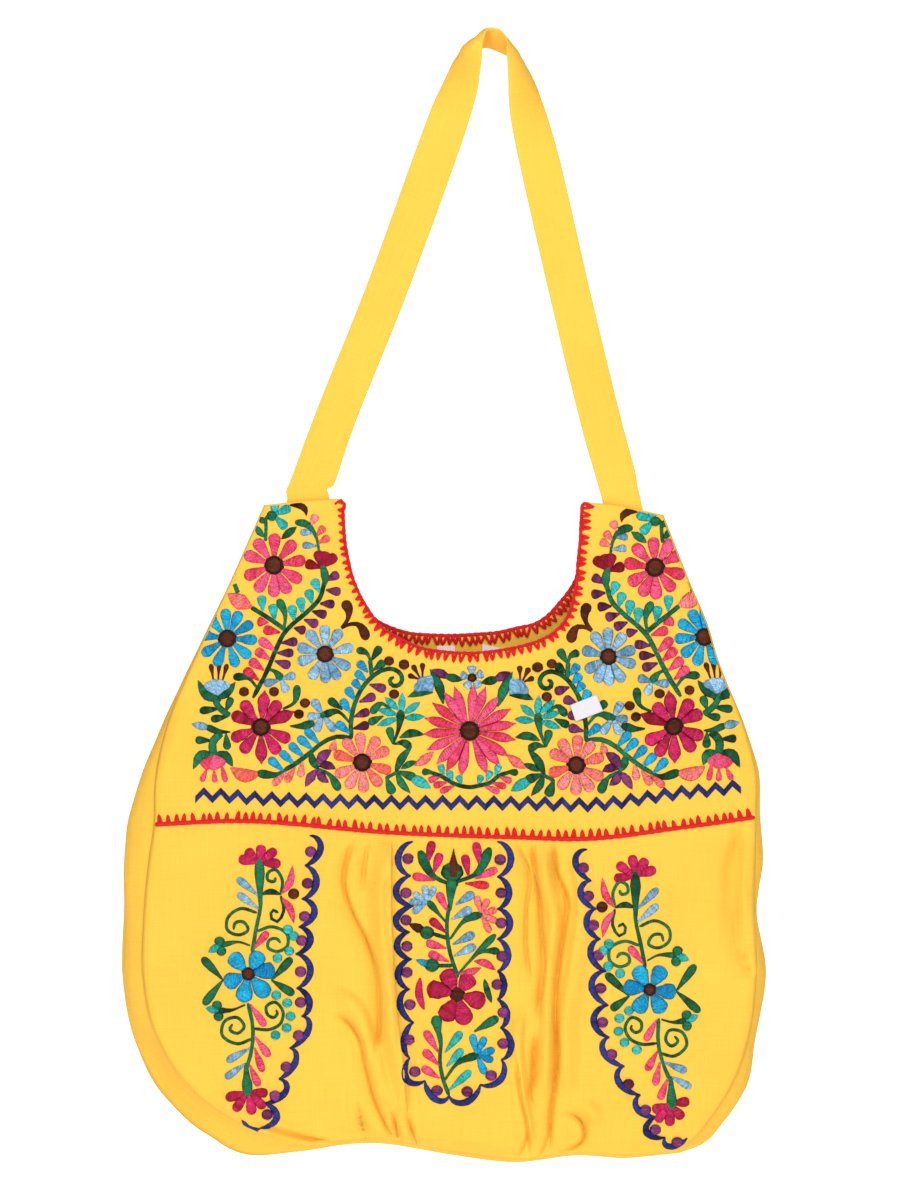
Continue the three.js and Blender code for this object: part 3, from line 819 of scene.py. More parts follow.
def yarn_material(name, bright, deep):
    """Twisted wool yarn: slanted fibres in the colour and in the bump."""
    material, shader = finish_material(name, {"Roughness": 0.75, "Specular IOR Level": 0.15})
    uv = shader.node("TexCoord", output="UV")
    slant = shader.node("Mapping", {"Vector": uv, "Rotation": (0.0, 0.0, 0.6), "Scale": (2600.0, 500.0, 1.0)})
    fibre = shader.node("TexNoise", {"Vector": slant, "Scale": 1.0, "Detail": 2.0}, output="Fac")
    (fibre * FIBRE_CONTRAST - FIBRE_DROP).mix(linear(deep), linear(bright)).into(shader, "Base Color")
    shader.node("Bump", {"Height": fibre, "Strength": 0.5, "Distance": 0.0005}).into(shader, "Normal")
    return material


red_yarn = yarn_material("red_yarn", "DF2A2B", "C4171C")
# The side of its line, walked from the left end, that the yoke lies on: 1 is the left hand, -1 the right.
INTO_YOKE = {"neck": -1, "seam": 1}
# How the roll curls over the tabs, as (x, z) from the ends of a neckline, and how many of its first points
# the left curl replaces.
TOP_CURL = {
    "left": ((-5, -3.6), (-3, -2.2), (-0.6, -1.9), (1.3, -3.3), (0.8, -5.8)),
    "right": ((0.6, -2), (1.6, -0.8), (4, -1.2), (7.2, -3.4)),
}
CURL_POINTS = 7
NECK_POINTS = 260
SEAM_POINTS = 320
SEAM_END = 0.004


def neck_edge(face):
    """The neckline as points (x, z), from its left end to its right one."""
    x, drop = neck_line(face, NECK_POINTS)
    return np.stack(place(across_at(x, drop), drop), -1)


def seam_edge():
    """The yoke seam as points (x, z), from the left side seam to the right one."""
    share = np.linspace(SEAM_END, 1 - SEAM_END, SEAM_POINTS)
    return np.stack(place(share, np.full(SEAM_POINTS, SEAM_DROP)), -1)


def stitched(name, node, *batches):
    """Red stitching as one piece that stands for a CAD edging."""
    piece = dress(tube_object(name, *batches), red_yarn)
    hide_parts(node)


# Lengths of the stitches from one end of their line to the other, and their height above the cloth.
NECK_STITCHES = {"front": (2.6, 3, 3.8, 4.8, 5.2, 4.6, 3.8, 5, 6.2), "back": (4, 5, 6, 6.2, 6.2, 6, 5)}
SEAM_STITCHES = (5.4, 5.6, 5.6, 5.4)
STITCH_HEIGHT = 0.3
NECK_LUMP = 4.6
SEAM_LUMP = 5.4
SEAM_PITCH = 5.5
SEAM_SPREAD = 0.07
both_sides = (STITCH_HEIGHT, -CLOTH - STITCH_HEIGHT)
for face, pitch, spread, seed in (("front", 4.8, 0.16, 31), ("back", 4.3, 0.24, 41)):
    line = neck_edge(face)
    ends = [line[0] + TOP_CURL["left"], line[CURL_POINTS:], line[-1] + TOP_CURL["right"]]
    roll = edge_roll(face, np.concatenate(ends), CLOTH / 2, NECK_LUMP, seed)
    hairpins = loops(face, line, INTO_YOKE["neck"], both_sides, pitch, NECK_STITCHES[face], spread, seed + 1)
    stitched(face + "_neck_stitches", face + "_neck_edging", roll, *hairpins)

for face, seed in (("front", 51), ("back", 61)):
    line = seam_edge()
    roll = edge_roll(face, line, -STITCH_HEIGHT, SEAM_LUMP, seed)
    hairpins = loops(face, line, INTO_YOKE["seam"], (STITCH_HEIGHT,), SEAM_PITCH, SEAM_STITCHES, SEAM_SPREAD,
                     seed + 1)
    stitched(face + "_seam_stitches", face + "_seam_edging", roll, *hairpins)

# Labels
# Two blank white tapes are sewn inside the back neckline, and keep the shape they have in the CAD part.
# A third one, also blank, lies on the front over the embroidery of the yoke.

# Corners of the front label in chart squares, clockwise from its top left.
LABEL_CORNERS = ((570, 705), (596.6, 694.4), (602.9, 711.1), (575.5, 721.3))
LABEL_HEIGHT = 1.8
LABEL_THICK = 0.4


def tape_material(name, bright, deep):
    """Closely woven tape: a fine grain in the colour and in the bump."""
    material, shader = finish_material(name, {"Roughness": 0.6, "Specular IOR Level": 0.2})
    place_m = shader.node("TexCoord", output="Object")
    grain = shader.node("TexNoise", {"Vector": place_m, "Scale": 900.0, "Detail": 2.0}, output="Fac")
    grain.mix(linear(deep), linear(bright)).into(shader, "Base Color")
    shader.node("Bump", {"Height": grain, "Strength": 0.3, "Distance": 0.0003}).into(shader, "Normal")
    return material


white_tape = tape_material("white_tape", "F8F4F2", "EEE9E6")
front_tape = tape_material("front_tape", "DCD9DE", "CECACF")
for label in ("inner_label_small", "inner_label_large"):
    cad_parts[label].material_slots[0].material = white_tape


def label_points(columns, rows):
    """Front label: its four corners, joined by straight lines, at a height above the outer side of the
    yoke."""
    right, down = np.meshgrid(np.linspace(0, 1, columns), np.linspace(0, 1, rows))
    right, down = right[..., None], down[..., None]
    top_left, top_right, foot_right, foot_left = from_chart(LABEL_CORNERS)
    top = top_left + (top_right - top_left) * right
    foot = foot_left + (foot_right - foot_left) * right
    x, z = np.moveaxis(top + (foot - top) * down, -1, 0)
    return np.stack([x, -depth("front", x, z) - LABEL_HEIGHT, z], -1)


points = label_points(columns=20, rows=12)
front_label = grid_object("front_label_tape", points, cloth_uv(points))
dress(front_label, front_tape, LABEL_THICK)

# Yoke embroidery
# Satin stitch in glossy thread covers the yoke: ten-petalled flowers, sprays of drops along green stems, and
# a zigzag above the seam. Its right half mirrors its left, about a line that leans a little.

# Each thread has two tones for painted sheen: a lighter one, painted where its stitches lie level, and a
# deeper one, painted where they stand upright.
THREAD_TONES_WITH_PAINTED_SHEEN = {
    "pink": ("E75782", "CC2944"),
    "magenta": ("CE2662", "850923"),
    "crimson": ("C9255D", "8E0D28"),
    "garnet": ("981034", "6E0512"),
    "salmon": ("EA8486", "E1584B"),
    "blue": ("1BA7D2", "0677AC"),
    "teal": ("38B7B6", "099690"),
    "sky": ("95BEDA", "4E81A3"),
    "purple": ("853975", "440F33"),
    "royal": ("2C3584", "0C1248"),
    "green": ("1A724C", "072F16"),
    "brown": ("5A2813", "280906"),
    "bark": ("33170C", "1A0703"),
}

# Half width along a stroke, from its base to its tip, as shares of the greatest.
OUTLINES = {
    "rim": ((0, 1), (1, 1)),
    "petal": ((0, 0.34), (0.3, 0.62), (0.5, 0.87), (0.66, 0.98), (0.78, 1), (0.88, 0.89), (0.95, 0.66),
              (1, 0.26)),
    "round": ((0, 0.3), (0.25, 0.64), (0.45, 0.9), (0.62, 1), (0.78, 0.97), (0.89, 0.8), (0.96, 0.52),
              (1, 0.22)),
    "drop": ((0, 0.18), (0.28, 0.52), (0.5, 0.83), (0.66, 0.97), (0.76, 1), (0.87, 0.93), (0.94, 0.75),
             (0.98, 0.52), (1, 0.28)),
    "leaf": ((0, 0.12), (0.2, 0.64), (0.45, 1), (0.7, 0.8), (0.9, 0.34), (1, 0.04)),
    "spear": ((0, 0.24), (0.3, 0.64), (0.6, 1), (0.76, 0.84), (0.88, 0.38), (0.95, 0.18), (1, 0.06)),
    "oval": ((0, 0.14), (0.04, 0.42), (0.15, 0.74), (0.3, 0.93), (0.5, 1), (0.7, 0.93), (0.85, 0.74),
             (0.96, 0.42), (1, 0.14)),
    "stem": ((0, 0.5), (0.03, 1), (0.97, 1), (1, 0.5)),
    "club": ((0, 0.3), (0.4, 0.4), (0.62, 0.75), (0.8, 1), (0.92, 0.86), (0.98, 0.56), (1, 0.3)),
    "arc": ((0, 0.2), (0.2, 0.75), (0.5, 1), (0.8, 0.75), (1, 0.2)),
    "bulb": ((0, 0.3), (0.35, 0.6), (0.65, 1), (0.85, 0.92), (1, 0.5)),
    "bud": ((0, 0.6), (0.12, 0.85), (0.3, 1), (0.5, 0.72), (0.75, 0.3), (1, 0.05)),
    "slope": ((0, 1), (1, 1)),
}

# The core of a flower: where its petals start, and the middle and half width of its rim, as shares of the
# radius.
PETAL_START = 0.85
RIM_REACH = 0.82
RIM_HALF = 0.15
RIM_POINTS = 13


class Chart:
    """Embroidery drawn in chart squares, as rows of outline, thread, half width and the line of a stroke."""

    def __init__(self):
        self.rows = []

    def strokes(self, outline_name, thread, half_width, lines):
        """Strokes of one outline, thread and half width along lines."""
        self.rows += [(outline_name, thread, half_width, np.array(line, float)) for line in lines]

    def dots(self, thread, radius, centres):
        """Round dots, each an upright oval stroke."""
        for column, row in centres:
            self.strokes("oval", thread, radius, [((column, row + radius), (column, row - radius))])

    def flower(self, thread, centre, core, half_width, tips, outline_name="petal"):
        """Petals from the edge of a round core out to their tips, each given as an angle and a reach, and
        the core with a dark rim."""
        centre = np.array(centre, float)
        for angle, reach in tips:
            out = np.array((np.cos(np.radians(angle)), -np.sin(np.radians(angle))))
            petal = (centre + out * core * PETAL_START, centre + out * reach)
            self.strokes(outline_name, thread, half_width, [petal])
        self.dots("brown", core, [centre])
        turn = np.linspace(0, 2 * np.pi, RIM_POINTS)
        rim = np.stack([np.cos(turn), np.sin(turn)], -1) * core * RIM_REACH
        self.strokes("rim", "bark", core * RIM_HALF, [centre + rim])

    def fan(self, thread, half_width, base, tips):
        """Drops from one base to several tips."""
        self.strokes("drop", thread, half_width, [(base, tip) for tip in tips])

    def moved(self, rows, move):
        """Adds rows again with their points moved."""
        self.rows += [(*row[:3], move(row[3])) for row in rows]


# The middle line of the yoke in chart squares, and its lean in columns to a row.
MIDDLE_COLUMN = 464.5
MIDDLE_ROW = 565
MIDDLE_LEAN = 0.018
# Where the right half strays from a plain mirror image: how far the mirror line moves near the middle, in
# the upper rows and at the side of the lower rows, and how far the work moves down in all, up at the side
# and down on the tab. After an amount come the distances from the middle line, then the rows, that it
# changes over.
MIDDLE_SHIFT = (3.0, 180)
UPPER_SHIFT = (2.5, (70, 130), (680, 720))
SIDE_SHIFT = (1.7, (230, 250), (700, 720))
ALL_DOWN = 2.7
SIDE_UP = (4.2, (185, 215))
TAB_DOWN = (4.0, (505, 555))


def mirrored(line):
    """The place on the right half of the yoke that answers to one on the left half: mirrored about the
    middle line, which is first moved by the shifts, and then moved down."""
    column, row = line.T
    axis = MIDDLE_COLUMN + MIDDLE_LEAN * (row - MIDDLE_ROW)
    away = axis - column
    near = MIDDLE_SHIFT[0] * np.clip(1 - away / MIDDLE_SHIFT[1], 0, 1)
    upper = UPPER_SHIFT[0] * (1 - ease(away, *UPPER_SHIFT[1])) * (1 - ease(row, *UPPER_SHIFT[2]))
    side = SIDE_SHIFT[0] * ease(away, *SIDE_SHIFT[1]) * ease(row, *SIDE_SHIFT[2])
    down = ALL_DOWN - SIDE_UP[0] * ease(away, *SIDE_UP[1]) + TAB_DOWN[0] * (1 - ease(row, *TAB_DOWN[1]))
    return np.stack([2 * (axis + near + upper - side) - column, row + down], -1)


def ring(reach, *angles):
    """Tips of petals that all reach equally far."""
    return [(angle, reach) for angle in angles]


half = Chart()
# the tab: a small teal flower, a brown comma and a stem of salmon drops
half.strokes("stem", "green", 1.8, [((272, 515), (266.5, 516.5), (265.5, 528), (265, 541))])
half.fan("teal", 4.9, (273, 515), [(274.5, 502), (290, 507), (286, 528)])
half.dots("green", 5.2, [(271.5, 515.5)])
half.strokes("leaf", "green", 3.6, [((265, 523), (258, 517)), ((264, 537), (259, 532), (255, 525))])
half.strokes("leaf", "green", 4.3, [((281, 539), (288, 533), (296.5, 526.5))])
half.strokes("leaf", "brown", 4, [((289, 505), (299, 505), (304.5, 509), (306, 516))])
half.strokes("club", "green", 4.2, [((319, 552), (315, 535), (306, 524), (294.5, 522))])
half.strokes("drop", "salmon", 4.3, [
    ((310, 526), (316, 514.5)),
    ((316, 536), (324, 526.5)),
    ((318, 543), (329, 537)),
])
half.strokes("drop", "sky", 3.8, [((313, 533), (300, 532)), ((317, 546), (302, 545))])
half.flower("pink", (273.6, 565.2), 9.5, 6.2, ring(32, 89, 49, 10, -30, -62, -90, -124, -158, 159, 126))
# the crimson tulip, and the long stem of drops under it
half.strokes("drop", "garnet", 5.4, [
    ((321, 568), (305, 563)),
    ((321, 568), (317.5, 550.5)),
    ((321, 568), (336, 555)),
    ((321, 568), (326.5, 551.5)),
])
half.strokes("leaf", "green", 4.2, [((324.5, 588), (324.5, 574), (320, 561))])
half.strokes("stem", "green", 2.3, [
    ((320, 563), (324.8, 570.6), (323.3, 586), (320, 597.4), (308, 611), (292.7, 624), (283.5, 634),
     (277, 647), (267, 671), (253, 698)),
    ((284, 629), (268, 618), (250.6, 607.3)),
])
half.strokes("club", "green", 4.5, [((283.5, 631), (285, 615), (278, 599))])
half.strokes("drop", "teal", 4.9, [
    ((319.5, 592.8), (313, 579)),
    ((312.2, 604.3), (307.6, 589.5)),
    ((302.6, 614.2), (299.6, 597.5)),
    ((294.2, 621.9), (291.2, 605)),
    ((274.7, 620.3), (272, 604)),
    ((262.5, 611.2), (261, 595.5)),
])
half.strokes("drop", "purple", 4.8, [
    ((326.4, 580.6), (338.5, 573.5)),
    ((325.6, 590.1), (340.5, 592)),
    ((319.8, 603.5), (334.5, 604.3)),
    ((311.8, 611.2), (326.5, 615.4)),
    ((303.8, 619.6), (318, 625)),
    ((293.8, 628), (305.5, 631)),
    ((281, 643), (297.5, 641.5)),
    ((277, 653), (293.5, 653)),
    ((274.5, 661), (290.5, 666)),
])
half.strokes("leaf", "salmon", 8, [((252, 607.3), (240, 602), (226.9, 593.6))])
half.strokes("stem", "green", 2.2, [((234, 584), (237.5, 593))])
half.strokes("drop", "pink", 5, [
    ((268, 622.6), (257, 621.5)),
    ((280, 632.6), (263, 629.5)),
    ((275.5, 651), (259, 639)),
    ((270.5, 660), (255.5, 650)),
    ((264, 670.5), (249.5, 660)),
    ((259, 680.5), (244, 669)),
])
# flowers at the side and below the neckline
half.flower("blue", (227, 638.6), 9, 5.5, ring(30, 94, 65, 32, -3, -39, -72, -112, -147, 172, 131))
half.flower("sky", (325, 654), 8.5, 5.5, ring(29, 91, 57, 14, -30, -62, -89, -120, -163, 165, 127))
half.flower("salmon", (362.4, 762.2), 9, 5.6, ring(30, 95, 58, 27, -17, -52, -87, -120, -154, 163, 128))
half.flower("magenta", (261, 727), 9, 6.2, ring(32, 54, -24, -56, -127, -158, 156, 126))
half.flower("magenta", (261, 727), 9, 6.6, ring(37, 84, 25, -89), "spear")
half.strokes("club", "brown", 5.3, [
    ((341.5, 628), (347.5, 619.5), (348.5, 609.5), (343.5, 601)),
    ((341.5, 628), (350, 624.3), (358, 624.5), (363, 630), (366.5, 640)),
])
# small things below the long stem, and the tulip and bell at the side seam
half.strokes("club", "green", 4.2, [
    ((257, 687.5), (248, 678), (233, 677)),
    ((265, 669), (274, 671), (282, 680)),
    ((283, 709), (294, 703), (297.5, 685)),
])
half.strokes("drop", "sky", 4.4, [
    ((281, 679), (295.5, 675)),
    ((280, 680), (264, 684)),
    ((281, 679), (287, 692)),
])
half.dots("brown", 4.7, [(244, 691.7), (274, 691.7), (305, 703), (299, 714)])
half.fan("sky", 4.8, (217, 695), [(205.5, 683), (212, 679.5), (221, 679.5), (228.5, 683)])
half.strokes("club", "brown", 2.6, [
    ((213.5, 682), (210.5, 664)),
    ((218, 681), (219, 662)),
    ((222, 682), (227, 664)),
])
half.strokes("leaf", "green", 4.9, [((221, 701), (206, 695), (197.5, 680))])
half.strokes("leaf", "green", 4.6, [((216, 700), (227, 692.5), (235.5, 682))])
half.strokes("stem", "green", 3.1, [((213.5, 695), (218, 706), (229.5, 716))])
half.strokes("drop", "green", 4, [
    ((225.5, 712), (231.5, 697.5)),
    ((220, 708.5), (199.5, 711)),
    ((228, 716.5), (211, 719.5)),
    ((211, 740.5), (195.5, 740)),
    ((226, 733), (227.5, 749.5)),
])
half.strokes("leaf", "sky", 4.4, [((210, 728), (201, 726), (191.5, 724))])
half.strokes("drop", "green", 3.5, [((230.5, 732), (218.5, 731.5), (206, 726.5))])
half.strokes("stem", "green", 4, [((221, 733), (213, 742), (213.5, 755))])
half.fan("pink", 6, (213.7, 755), [(203, 767.5), (214, 770), (224, 765.5)])
half.strokes("leaf", "green", 5, [
    ((214, 755), (202.5, 754.5), (193, 769)),
    ((214.5, 753.5), (225, 755.5), (233, 766.5)),
])
half.strokes("drop", "pink", 2.9, [
    ((207.5, 768), (201.5, 781.5)),
    ((214, 769), (215, 782.5)),
    ((221, 763), (226, 782)),
])
half.strokes("leaf", "salmon", 7, [((260.5, 773), (245, 775.5), (230, 767.5))])
# the two inner stems and their drops
half.strokes("stem", "green", 2.2, [
    ((351.7, 738.5), (351, 723), (353.9, 706.7), (361, 690), (371, 677.8), (382, 670.6), (392, 669),
     (400, 673.3), (402.2, 680), (398, 685.5), (391.5, 684.8), (390, 679.5), (394, 677)),
    ((352, 738), (337, 736.5), (325, 741), (311, 752), (298, 762), (284, 770.5)),
    ((371.7, 675), (370, 660)),
])
half.strokes("club", "green", 4.6, [((292, 766), (276, 774.5), (257, 773))])
half.strokes("club", "green", 4, [
    ((371, 663), (367, 653.5), (356.5, 649.5)),
    ((349.5, 722), (338, 711.5), (321.5, 716)),
])
half.strokes("drop", "green", 4.2, [
    ((371, 661), (380.5, 646.5)),
    ((373, 670.5), (384.5, 661.5)),
    ((342.5, 709.5), (328.5, 699)),
    ((290, 726), (302, 726), (314.5, 722.5)),
])
half.strokes("drop", "blue", 4.4, [
    ((368, 672.5), (358, 661.5)),
    ((366.7, 681.5), (355.5, 671.5)),
    ((361.5, 690.5), (353, 680)),
    ((355.6, 701), (346.5, 687.5)),
    ((350.8, 713.5), (341.5, 699)),
    ((351, 734), (336.5, 722)),
    ((320, 744.5), (305.5, 729)),
    ((314, 750.5), (298, 736.5)),
    ((305, 758), (289.5, 743.5)),
    ((295, 764.5), (280.5, 751.5)),
    ((284, 771), (269, 758)),
])
half.strokes("drop", "purple", 4.6, [
    ((369.4, 684.4), (386, 689.5)),
    ((359.4, 702), (375.5, 695.5)),
    ((354, 716.7), (369.5, 711)),
    ((353.3, 728.5), (369, 724.5)),
])
half.dots("brown", 4.7, [(389, 661), (394, 694)])
half.dots("brown", 5, [(404, 664.5)])
half.strokes("drop", "salmon", 3.8, [
    ((287, 771), (273, 785)),
    ((295.5, 767), (286, 782)),
    ((302.5, 761), (300.5, 777)),
    ((335, 740), (332.5, 750.5)),
])
half.fan("sky", 4.5, (323, 715), [(313, 699.5), (307.5, 717), (316, 731.5), (335, 731)])
half.dots("green", 3.2, [(323, 715)])
# the purple lily
half.strokes("leaf", "purple", 5.4, [((317, 765), (323, 756), (332, 749.5))])
half.strokes("leaf", "purple", 4.6, [
    ((319, 766), (327, 765), (336, 768.5)),
    ((317, 769), (311, 777), (305.5, 786.5)),
    ((318, 769), (322, 777), (329, 782.5)),
])
half.strokes("leaf", "green", 4.2, [((311, 750.5), (313, 761), (319.5, 770))])
half.strokes("club", "green", 4.6, [((319, 769), (329, 774), (339.5, 790))])
# the teal star
half.strokes("leaf", "teal", 3.9, [
    ((401.5, 713), (402.4, 692.5)),
    ((404, 713.5), (420.5, 702)),
    ((404, 718), (425, 716.5)),
    ((398.5, 710), (384.5, 697)),
    ((397.5, 714.5), (377.5, 709.5)),
    ((398, 718), (377, 725.5)),
])
half.strokes("club", "green", 4.2, [((393, 744), (398, 731), (401.3, 709.5))])
half.strokes("club", "green", 4, [((391, 710), (382, 703.5), (371, 713))])
half.strokes("drop", "green", 4, [
    ((393, 744), (389, 727)),
    ((394, 744), (403, 742.5), (411, 747)),
    ((383.5, 716), (368.5, 723)),
])
half.strokes("leaf", "green", 4.3, [((399.5, 737.5), (412, 733), (424.5, 734.5))])
# the tulip beside the middle, and the leaves under it
half.fan("sky", 5.4, (432, 691.5), [(414, 686.5), (419, 678.5), (428, 675.5)])
half.strokes("leaf", "green", 4.9, [((443.3, 704), (439, 686), (430, 669))])
half.strokes("leaf", "green", 4.3, [((433, 692.5), (422, 692), (407.5, 697))])
half.strokes("club", "brown", 2.7, [
    ((421, 680), (408, 675)),
    ((420, 678), (412.5, 665)),
    ((422.5, 677), (422.5, 663)),
])
half.strokes("leaf", "purple", 4.6, [((450, 678), (442, 674), (432, 669.5))])
half.strokes("leaf", "green", 4.4, [((462.5, 680), (453, 678), (443, 675.5))])
half.strokes("leaf", "salmon", 5, [((414.5, 765), (422, 761), (433.8, 751.5))])
half.strokes("leaf", "green", 3.4, [((401, 768.5), (409, 764), (417.5, 761))])
half.strokes("leaf", "green", 4.3, [((395, 773), (402, 758), (412, 746))])
half.strokes("leaf", "teal", 5.6, [((408, 775), (418, 780.5), (431, 788))])
half.strokes("drop", "green", 4.6, [((397, 771), (407, 774.5), (415.5, 778))])
half.strokes("leaf", "green", 4, [((396.5, 771.5), (401, 782), (410.5, 793))])
half.strokes("stem", "green", 1.7, [((397, 772), (386, 778))])
half.strokes("drop", "green", 4.7, [((386, 776.5), (393, 793.5))])

yoke = Chart()
yoke.rows += half.rows
yoke.moved(half.rows, mirrored)
# the middle: the large pointed flower, the small one above it and the wreath below
MIDDLE_ANGLES = (85, 70, 49, 28, 9, -11, -33, -49, -68, -101, -120, -135, -156, -176, 164, 143, 123.5, 109)
yoke.flower("pink", (469.6, 730.8), 9.8, 4.9, ring(47, *MIDDLE_ANGLES), "spear")
yoke.flower("sky", (472, 677.7), 4.4, 4.4, ring(12, 92, 22, -50, -120, 168))
yoke.strokes("stem", "green", 1.9, [
    ((430, 772), (441, 775.8), (452.4, 782.5), (462, 785.8), (470.6, 786.8), (479, 785.3), (489.7, 782.5),
     (500, 774.8), (510, 772)),
])
yoke.strokes("club", "green", 3.4, [
    ((438, 774.5), (431, 772), (422, 771.5)),
    ((501, 774.5), (508, 772), (518, 772.5)),
])
yoke.strokes("drop", "teal", 3.4, [
    ((443.8, 775.3), (440, 764)),
    ((452.4, 781), (448.6, 770.5)),
    ((461.5, 783.9), (458.1, 775)),
    ((477.8, 783.9), (481.6, 775)),
    ((486.4, 780.5), (490.7, 770.5)),
    ((495, 775.8), (499.3, 764)),
])
yoke.strokes("drop", "pink", 3.2, [
    ((440.5, 776.2), (428.5, 780.5)),
    ((447.7, 781.5), (433.5, 785.8)),
    ((455.3, 785), (440, 791.5)),
    ((498.8, 776.2), (511.3, 781.3)),
    ((490.6, 782), (506, 786.8)),
    ((483, 785), (499.3, 792)),
])
# the zigzag: one stroke to each slope, cut upright at both ends, along a line that sags in the middle
ZIGZAG_START = 195.5
ZIGZAG_STEP = 8.52
ZIGZAG_COUNT = 65
ZIGZAG_SWING = 4.4
ZIGZAG_HALF = 3.3
zigzag_line = spline((195, 221, 255, 289, 340, 392, 480, 546, 580, 614, 646, 681, 715, 741),
                     (795, 795.3, 798, 799.5, 801, 802, 802.5, 803.5, 804.5, 802.5, 797.5, 792.5, 789.5, 786))
turn = np.arange(ZIGZAG_COUNT)
columns = ZIGZAG_START + ZIGZAG_STEP * turn
corners = np.stack([columns, zigzag_line(columns) + ZIGZAG_SWING * np.where(turn % 2, -1, 1)], -1)
yoke.strokes("slope", "royal", ZIGZAG_HALF, zip(corners[:-1], corners[1:]))

# A stroke through more points than this is curled, and has more stations along it.
PLAIN_POINTS = 6
STATIONS = {"plain": 12, "curled": 44}
EVEN_SHARE = 0.25
LINE_POINTS = 200
# Dots, a bud in its cup and the rims of flowers are worked last, over the strokes round them.
LAYERS = {"oval": 0.45, "bud": 0.9, "rim": 1.15}
LATER_RISE = 0.35
# Round a stroke's section: the place across it, the height, and the share of the lighter tone, which is low
# on the sides and underside as painted shade.
SECTION = np.array([(-1.1, -0.3), (-0.74, 0.74), (0, 1), (0.74, 0.74), (1.1, -0.3), (0, -0.4)])
SECTION_PAINTED_LIGHT = np.array((0.2, 0.9, 1, 1, 0.2, 0))
DOME_LEAST = 0.4
DOME_GROWTH = 0.24
DOME_MOST = 1.2
RAGGED_EDGE = 0.03
# Painted sheen: the lighter tone's share in an upright stitch, what a level one adds, and how much it varies.
PAINTED_SHEEN_UPRIGHT = 0.25
PAINTED_SHEEN_LEVEL = 0.5
PAINTED_SHEEN_STRAY = 0.2
THREAD_START = 400.0
STITCH_SLANT = 0.35
SEAM_MARGIN = 1.2


def inside_seams(flat):
    """Points (x, z) moved to the side seams or the tab tops where they lie beyond them, as work that is cut
    off there."""
    x, z = flat[..., 0], flat[..., 1]
    across, drop = locate(x, z)
    low = section["left"](drop) + SEAM_MARGIN
    high = section["right"](drop) - SEAM_MARGIN
    top = rise(across, np.full_like(x, TAB_DROP)) - TAB_DROP - SEAM_MARGIN
    return np.stack([np.clip(x, low, high), np.minimum(z, top)], -1)


def satin(chart, seed):
    """Batches of rings for all strokes of a chart: across each stroke a low dome, as wide as its outline,
    that lies on the front. Later strokes lie a little higher. Its colour holds painted light: stitches
    that run level are painted nearer the lighter tone of their thread, as painted sheen, and the sides of
    a stroke nearer its deep tone, as painted shade."""
    rng = np.random.default_rng(seed)
    batches = []
    for kind, stations in STATIONS.items():
        curled = kind == "curled"
        picked = [(i, row) for i, row in enumerate(chart.rows) if (len(row[3]) > PLAIN_POINTS) == curled]
        order = np.array([i for i, _ in picked]) / len(chart.rows)
        count = len(picked)
        share = np.linspace(0, 1, stations)
        if not curled:
            share = (1 - np.cos(np.pi * share)) / 2 * (1 - EVEN_SHARE) + share * EVEN_SHARE
        spots = np.round(share * (LINE_POINTS - 1)).astype(int)
        line = from_chart([smooth_line(row[3], LINE_POINTS)[spots] for _, row in picked])
        keys = [np.array(OUTLINES[row[0]]) for _, row in picked]
        width = np.array([np.interp(share, k[:, 0], k[:, 1]) for k in keys])
        width *= np.array([row[2] * SQUARE for _, row in picked])[:, None]
        ragged = 1 + RAGGED_EDGE * rng.standard_normal((count, stations, 1))
        along = np.gradient(line, axis=1)
        along /= np.linalg.norm(along, axis=2, keepdims=True)
        across = np.stack([along[..., 1], -along[..., 0]], -1)
        across[[row[0] == "slope" for _, row in picked]] = (0, -1)
        offset = SECTION[:, 0] * width[..., None] * ragged
        flat = inside_seams(line[:, :, None] + across[:, :, None] * offset[..., None])
        dome = np.clip(DOME_LEAST + DOME_GROWTH * width, 0, DOME_MOST)[..., None] * SECTION[:, 1]
        layer = LATER_RISE * order + np.array([LAYERS.get(row[0], 0) for _, row in picked])
        y = -(depth("front", flat[..., 0], flat[..., 1]) + dome + layer[:, None, None])
        steps = np.linalg.norm(np.diff(line, axis=1), axis=2)
        length = np.concatenate([np.zeros((count, 1)), np.cumsum(steps, axis=1)], 1)[..., None] + 0 * offset
        start = rng.uniform(0, THREAD_START, (count, 1, 1))
        tones = np.array([[linear(code)[:3] for code in THREAD_TONES_WITH_PAINTED_SHEEN[row[1]]] for _, row in picked])
        # Painted sheen and shade in the colour: level stitches are painted lighter, and the sides of the
        # section darker.
        painted_light = PAINTED_SHEEN_UPRIGHT + PAINTED_SHEEN_LEVEL * np.abs(along[..., 1])
        painted_light = painted_light + rng.normal(0, PAINTED_SHEEN_STRAY, (count, 1)) + rng.normal(0, PAINTED_SHEEN_STRAY, (count, stations))
        painted_light = np.clip(painted_light, 0, 1)[..., None, None] * SECTION_PAINTED_LIGHT[:, None]
        bright, deep = tones[:, None, None, 0], tones[:, None, None, 1]
        uv = (start + length + STITCH_SLANT * offset, start + offset)
        places = np.stack([flat[..., 0], y, flat[..., 1], *uv], -1)
        batches.append(np.concatenate([places, deep + (bright - deep) * painted_light], -1))
    return batches


STREAK_SHADE = 2.0
SPECK_SHADE = 1.8
SHADE_DROP = 0.9
RIDGE_RATE = 15000.0
RIDGE_SHARE = 0.3


